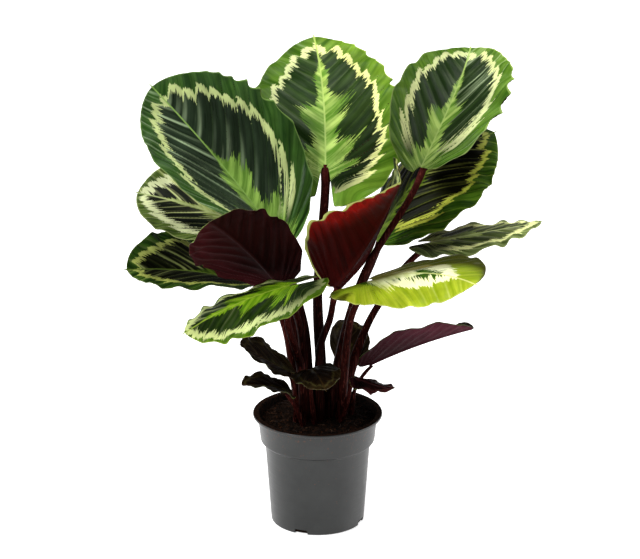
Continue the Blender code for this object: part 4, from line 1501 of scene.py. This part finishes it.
@dataclass
class Soil:
    """The peat in the pot: a lumpy plug, strewn with crumbs and fibres."""

    edge_height: float = 99.6
    edge_radius: float = 53.6
    under: tuple = ((51.4, 81.4), (47.1, 78.6), (41.7, 1.7), (12.0, 1.7))   # radius, height below the edge
    dome: float = 2.4
    dome_line: tuple = ((0.0, 0.35, 0.7, 1.0), (1.0, 0.95, 0.6, 0.0))   # share of the radius, of the dome
    lump: float = 1.0
    crumb_size: float = 1.35
    crumb_spacing: float = 1.35
    crumb_shares: tuple = ((0.25, 0.25, 0.2), (1.0, 0.8, 0.6))      # smallest and largest, against the size
    crumb_lumps: float = 2.2
    crumb_density: float = 500000.0     # the most that a square metre may hold
    fibre_spacing: float = 8.0
    fibre_radii: tuple = (3.0, 7.0)     # of the arc that a fibre bends in
    fibre_arc: float = 1.3              # length of the arc, in radians
    fibre_girth: float = 0.024          # against the arc's radius
    fibre_tilt: float = 0.25            # how far a fibre tips up, in radians
    fibre_density: float = 60000.0
    seed: int = 11
    sides: int = 144
    rings: int = 45

    def height(self, radius: float) -> float:
        """Give the height of the soil's top at a distance from the middle."""
        share = float(np.interp(radius / self.edge_radius, *self.dome_line))
        return self.edge_height + self.dome * share

    def plug(self) -> bpy.types.Object:
        """Make the body of the soil: a plug that fits the pot, lumpy on top.

        Returns:
            The piece.
        """
        radii = np.linspace(0.0, self.edge_radius, self.rings + 1)[1:]
        bm = bmesh.new()
        loops = []
        for radius, level in [*((radius, None) for radius in radii), *self.under]:
            loop = []
            for turn in np.linspace(0.0, FULL_TURN, self.sides, endpoint=False):
                spot = Vector((radius * math.cos(turn), radius * math.sin(turn), 0.0))
                lump = self.lump * (noise.noise(spot * 0.16) + 0.6 * noise.noise(spot * 0.45))
                spot.z = self.height(radius) + lump if level is None else level
                loop.append(bm.verts.new(spot * MM))
            loops.append(loop)
        for inner, outer in zip(loops, loops[1:]):
            for here in range(self.sides):
                there = (here + 1) % self.sides
                bm.faces.new((inner[here], outer[here], outer[there], inner[there]))
        for loop, level in ((loops[0], self.height(0.0)), (loops[-1], self.under[-1][1])):
            pole = bm.verts.new((0.0, 0.0, level * MM))
            for here in range(self.sides):
                bm.faces.new((pole, loop[here], loop[(here + 1) % self.sides]))
        bmesh.ops.recalc_face_normals(bm, faces=bm.faces)
        mesh = plain_mesh(bm, "peat_plug")
        mesh.materials.append(PeatFinish().material())
        return new_piece("peat_plug", mesh)

    def bed(self, name: str, lift: float, radius: float) -> bpy.types.Object:
        """Make the round surface that crumbs or fibres are strewn on.

        Args:
            name: what is strewn on it.
            lift: how far it lies above the soil.
            radius: how far it reaches.

        Returns:
            The piece.
        """
        bm = bmesh.new()
        bmesh.ops.create_circle(bm, cap_ends=True, radius=radius * MM, segments=64)
        bmesh.ops.inset_individual(bm, faces=bm.faces, thickness=radius * 0.3 * MM)
        bmesh.ops.inset_individual(bm, faces=[max(bm.faces, key=lambda f: len(f.verts))],
                                   thickness=radius * 0.35 * MM)
        for vert in bm.verts:
            spread = math.hypot(vert.co.x, vert.co.y) / MM
            vert.co.z = (self.height(spread) + lift) * MM
        bmesh.ops.triangulate(bm, faces=bm.faces)
        bmesh.ops.recalc_face_normals(bm, faces=bm.faces)
        return new_piece(name, plain_mesh(bm, name))

    def strewn(self, growth: Growth, density: float) -> Socket:
        """Strew points over the surface, no closer than the tree's spacing.

        Args:
            growth: the tree.
            density: how many points a square metre holds at most.

        Returns:
            The points.
        """
        entry = growth.entry
        return growth.add("GeometryNodeDistributePointsOnFaces",
                          {0: entry["Geometry"], "Distance Min": entry["Spacing"], "Density Max": density,
                           "Seed": entry["Seed"]}, distribute_method="POISSON")

    def crumbs(self) -> Growth:
        """Build the tree that strews lumpy crumbs over a surface.

        Returns:
            The tree.
        """
        growth = Growth("peat_crumbs", {
            "Spacing": ("NodeSocketFloat", self.crumb_spacing * MM),
            "Size": ("NodeSocketFloat", self.crumb_size * MM),
            "Seed": ("NodeSocketInt", self.seed),
        })
        add = growth.add
        crumb = add("GeometryNodeMeshIcoSphere", {"Radius": 1.0, "Subdivisions": 2})
        turn = add(RANDOM, ((0.0, 0.0, 0.0), (6.28, 6.28, 6.28), 3))
        stretch = add(RANDOM, (*self.crumb_shares, 5))
        stretch = add(VECTOR_SCALE, (stretch, growth.entry["Size"]))
        heap = add("GeometryNodeInstanceOnPoints", {0: self.strewn(growth, self.crumb_density), 2: crumb,
                                                    "Rotation": turn, "Scale": stretch})
        heap = add("GeometryNodeRealizeInstances", (heap,))
        rough = add(THREE_NOISES, (add("GeometryNodeInputPosition"), 700.0, 1.0))
        rough = add(VECTOR_SCALE, (add(VECTOR_MINUS, (rough, (0.5, 0.5, 0.5))), self.crumb_lumps * MM))
        return growth.close(add("GeometryNodeSetPosition", {0: heap, "Offset": rough}))

    def fibres(self) -> Growth:
        """Build the tree that strews bent fibres over a surface.

        Returns:
            The tree.
        """
        growth = Growth("peat_fibres", {
            "Spacing": ("NodeSocketFloat", self.fibre_spacing * MM),
            "Seed": ("NodeSocketInt", self.seed),
        })
        add = growth.add
        arc = add("GeometryNodeCurveArc", {"Resolution": 7, "Radius": 1.0, "Sweep Angle": self.fibre_arc})
        ring = add("GeometryNodeCurvePrimitiveCircle", {"Resolution": 5, "Radius": self.fibre_girth})
        strand = add("GeometryNodeCurveToMesh", {0: arc, 1: ring, "Fill Caps": True})
        tilt = self.fibre_tilt
        turn = add(RANDOM, ((-tilt, -tilt, 0.0), (tilt, tilt, 6.28), 8))
        small, large = (radius * MM for radius in self.fibre_radii)
        size = add(Kind("FunctionNodeRandomValue", (2, 3, "Seed"), 1), (small, large, 9), data_type="FLOAT")
        heap = add("GeometryNodeInstanceOnPoints", {0: self.strewn(growth, self.fibre_density), 2: strand,
                                                    "Rotation": turn, "Scale": size})
        return growth.close(heap)

    def build(self) -> None:
        """Make the plug, strew the crumbs and fibres, and dress them."""
        settle(self.plug(), "potting_soil", "soil")
        bed = self.bed("peat_crumbs", 0.3, self.edge_radius - 1.4)
        settle(self.crumbs().grow(bed, PeatFinish()), "potting_soil")
        bed = self.bed("peat_fibres", 1.2, self.edge_radius - 8.0)
        settle(self.fibres().grow(bed, COIR), "potting_soil")


# --- studio --------------------------------------------------------------------------------------------

@dataclass(frozen=True)
class PaperFinish(Finish):
    """White background paper, matt, which glows a little so that it stays white around the pot."""

    name: str = "white_paper"
    seen_glow: float = 0.82         # how strongly it glows when looked at
    mirrored_glow: float = 0.70     # and when it shows in something glossy

    def paint(self, add: Callable, shader: bpy.types.Node) -> None:
        """Lay the faint tint and the glow.

        Args:
            add: adds a node to the material.
            shader: the material's shader.
        """
        tint = add(NOISE, (add(PLACE), 3.0))
        rays = add(Kind("ShaderNodeLightPath", out=None)).outputs
        glow = add(TIMES, (rays["Is Camera Ray"], self.seen_glow))
        glow = add(TIMES_PLUS, (rays["Is Glossy Ray"], self.mirrored_glow, glow))
        fill(shader, {"Base Color": add(MIX, (tint, "#f7f7f7", "#fbfbfb")), "Roughness": 0.9,
                      "Emission Color": "#ffffff", "Emission Strength": glow, "Specular IOR Level": 0.1})


class Lamp(NamedTuple):
    """A round soft lamp. A panel that only shines shows in the gloss and lights nothing."""

    name: str
    place: tuple            # in metres
    size: float             # across, in metres
    power: float            # in watts
    lights: bool = True
    shines: bool = True


@dataclass
class Studio:
    """The floor, the lamps and the camera."""

    floor_size: float = 30.0                # in metres, like every place here
    camera_place: tuple = (0.0022, -2.592, 1.165)
    camera_tilt: float = 70.3
    camera_lens: float = 169.6
    sensor_width: float = 36.0
    far_end: float = 100.0
    soft_light: float = 0.22                # how strongly the white around lights the plant
    seen_light: float = 1.05                # and how bright it looks
    aim: tuple = (0.0, 0.0, 0.25)           # what the lamps face
    lamps: tuple = (
        Lamp("key_lamp", (-1.5, -1.2, 1.7), 0.6, 40.0),
        Lamp("top_lamp", (0.4, 0.2, 2.6), 1.4, 40.0),
        Lamp("rear_lamp", (1.4, 2.4, 1.2), 1.4, 22.0, shines=False),
        Lamp("left_panel", (-2.2, 0.7, 0.9), 1.6, 20.0, lights=False),
        Lamp("right_panel", (2.2, 0.4, 0.9), 1.8, 32.0, lights=False),
    )

    def build(self) -> None:
        """Set up the whole studio."""
        self.lay_floor()
        for lamp in self.lamps:
            self.hang(lamp)
        self.surround()
        self.place_camera()

    def lay_floor(self) -> None:
        """Lay a plain pale floor."""
        bm = bmesh.new()
        bmesh.ops.create_grid(bm, x_segments=1, y_segments=1, size=self.floor_size)
        mesh = plain_mesh(bm, "floor")
        mesh.materials.append(PaperFinish().material())
        new_piece("floor", mesh)

    def hang(self, lamp: Lamp) -> None:
        """Hang a lamp so that it faces the plant.

        Args:
            lamp: the lamp.
        """
        light = bpy.data.lights.new(lamp.name, "AREA")
        light.shape = "DISK"
        light.size = lamp.size
        light.energy = lamp.power
        thing = bpy.data.objects.new(lamp.name, light)
        thing.location = lamp.place
        thing.visible_diffuse = lamp.lights
        thing.visible_glossy = lamp.shines
        thing.rotation_euler = (Vector(self.aim) - Vector(lamp.place)).to_track_quat("-Z", "Y").to_euler()
        bpy.context.scene.collection.objects.link(thing)

    def surround(self) -> None:
        """Surround the studio with white that lights softly and looks bright."""
        world = bpy.data.worlds.new("studio_white")
        bpy.context.scene.world = world
        world.use_nodes = True
        add = partial(add_node, world.node_tree)
        seen = add(Kind("ShaderNodeLightPath", out="Is Camera Ray"))
        fill(world.node_tree.nodes["Background"],
             {"Color": "#ffffff", "Strength": add(RAMP, (seen, 0.0, 1.0, self.soft_light, self.seen_light))})
        bpy.context.scene.view_settings.view_transform = "Standard"

    def place_camera(self) -> None:
        """Stand the camera in front of the plant, a little above it."""
        data = bpy.data.cameras.new("camera")
        data.lens = self.camera_lens
        data.sensor_width = self.sensor_width
        data.clip_end = self.far_end
        camera = bpy.data.objects.new("camera", data)
        camera.location = self.camera_place
        camera.rotation_euler = (math.radians(self.camera_tilt), 0.0, 0.0)
        bpy.context.scene.collection.objects.link(camera)
        bpy.context.scene.camera = camera


def main() -> None:
    """Build every piece in order."""
    logging.basicConfig(level=logging.INFO, format="%(name)s: %(message)s", force=True)
    Studio().build()
    Pot().build()
    Soil().build()
    stalks = Stalks()
    for leaf in LEAVES:
        stalks.build(leaf)
        Blade(leaf).build()


if __name__ == "__main__":
    main()
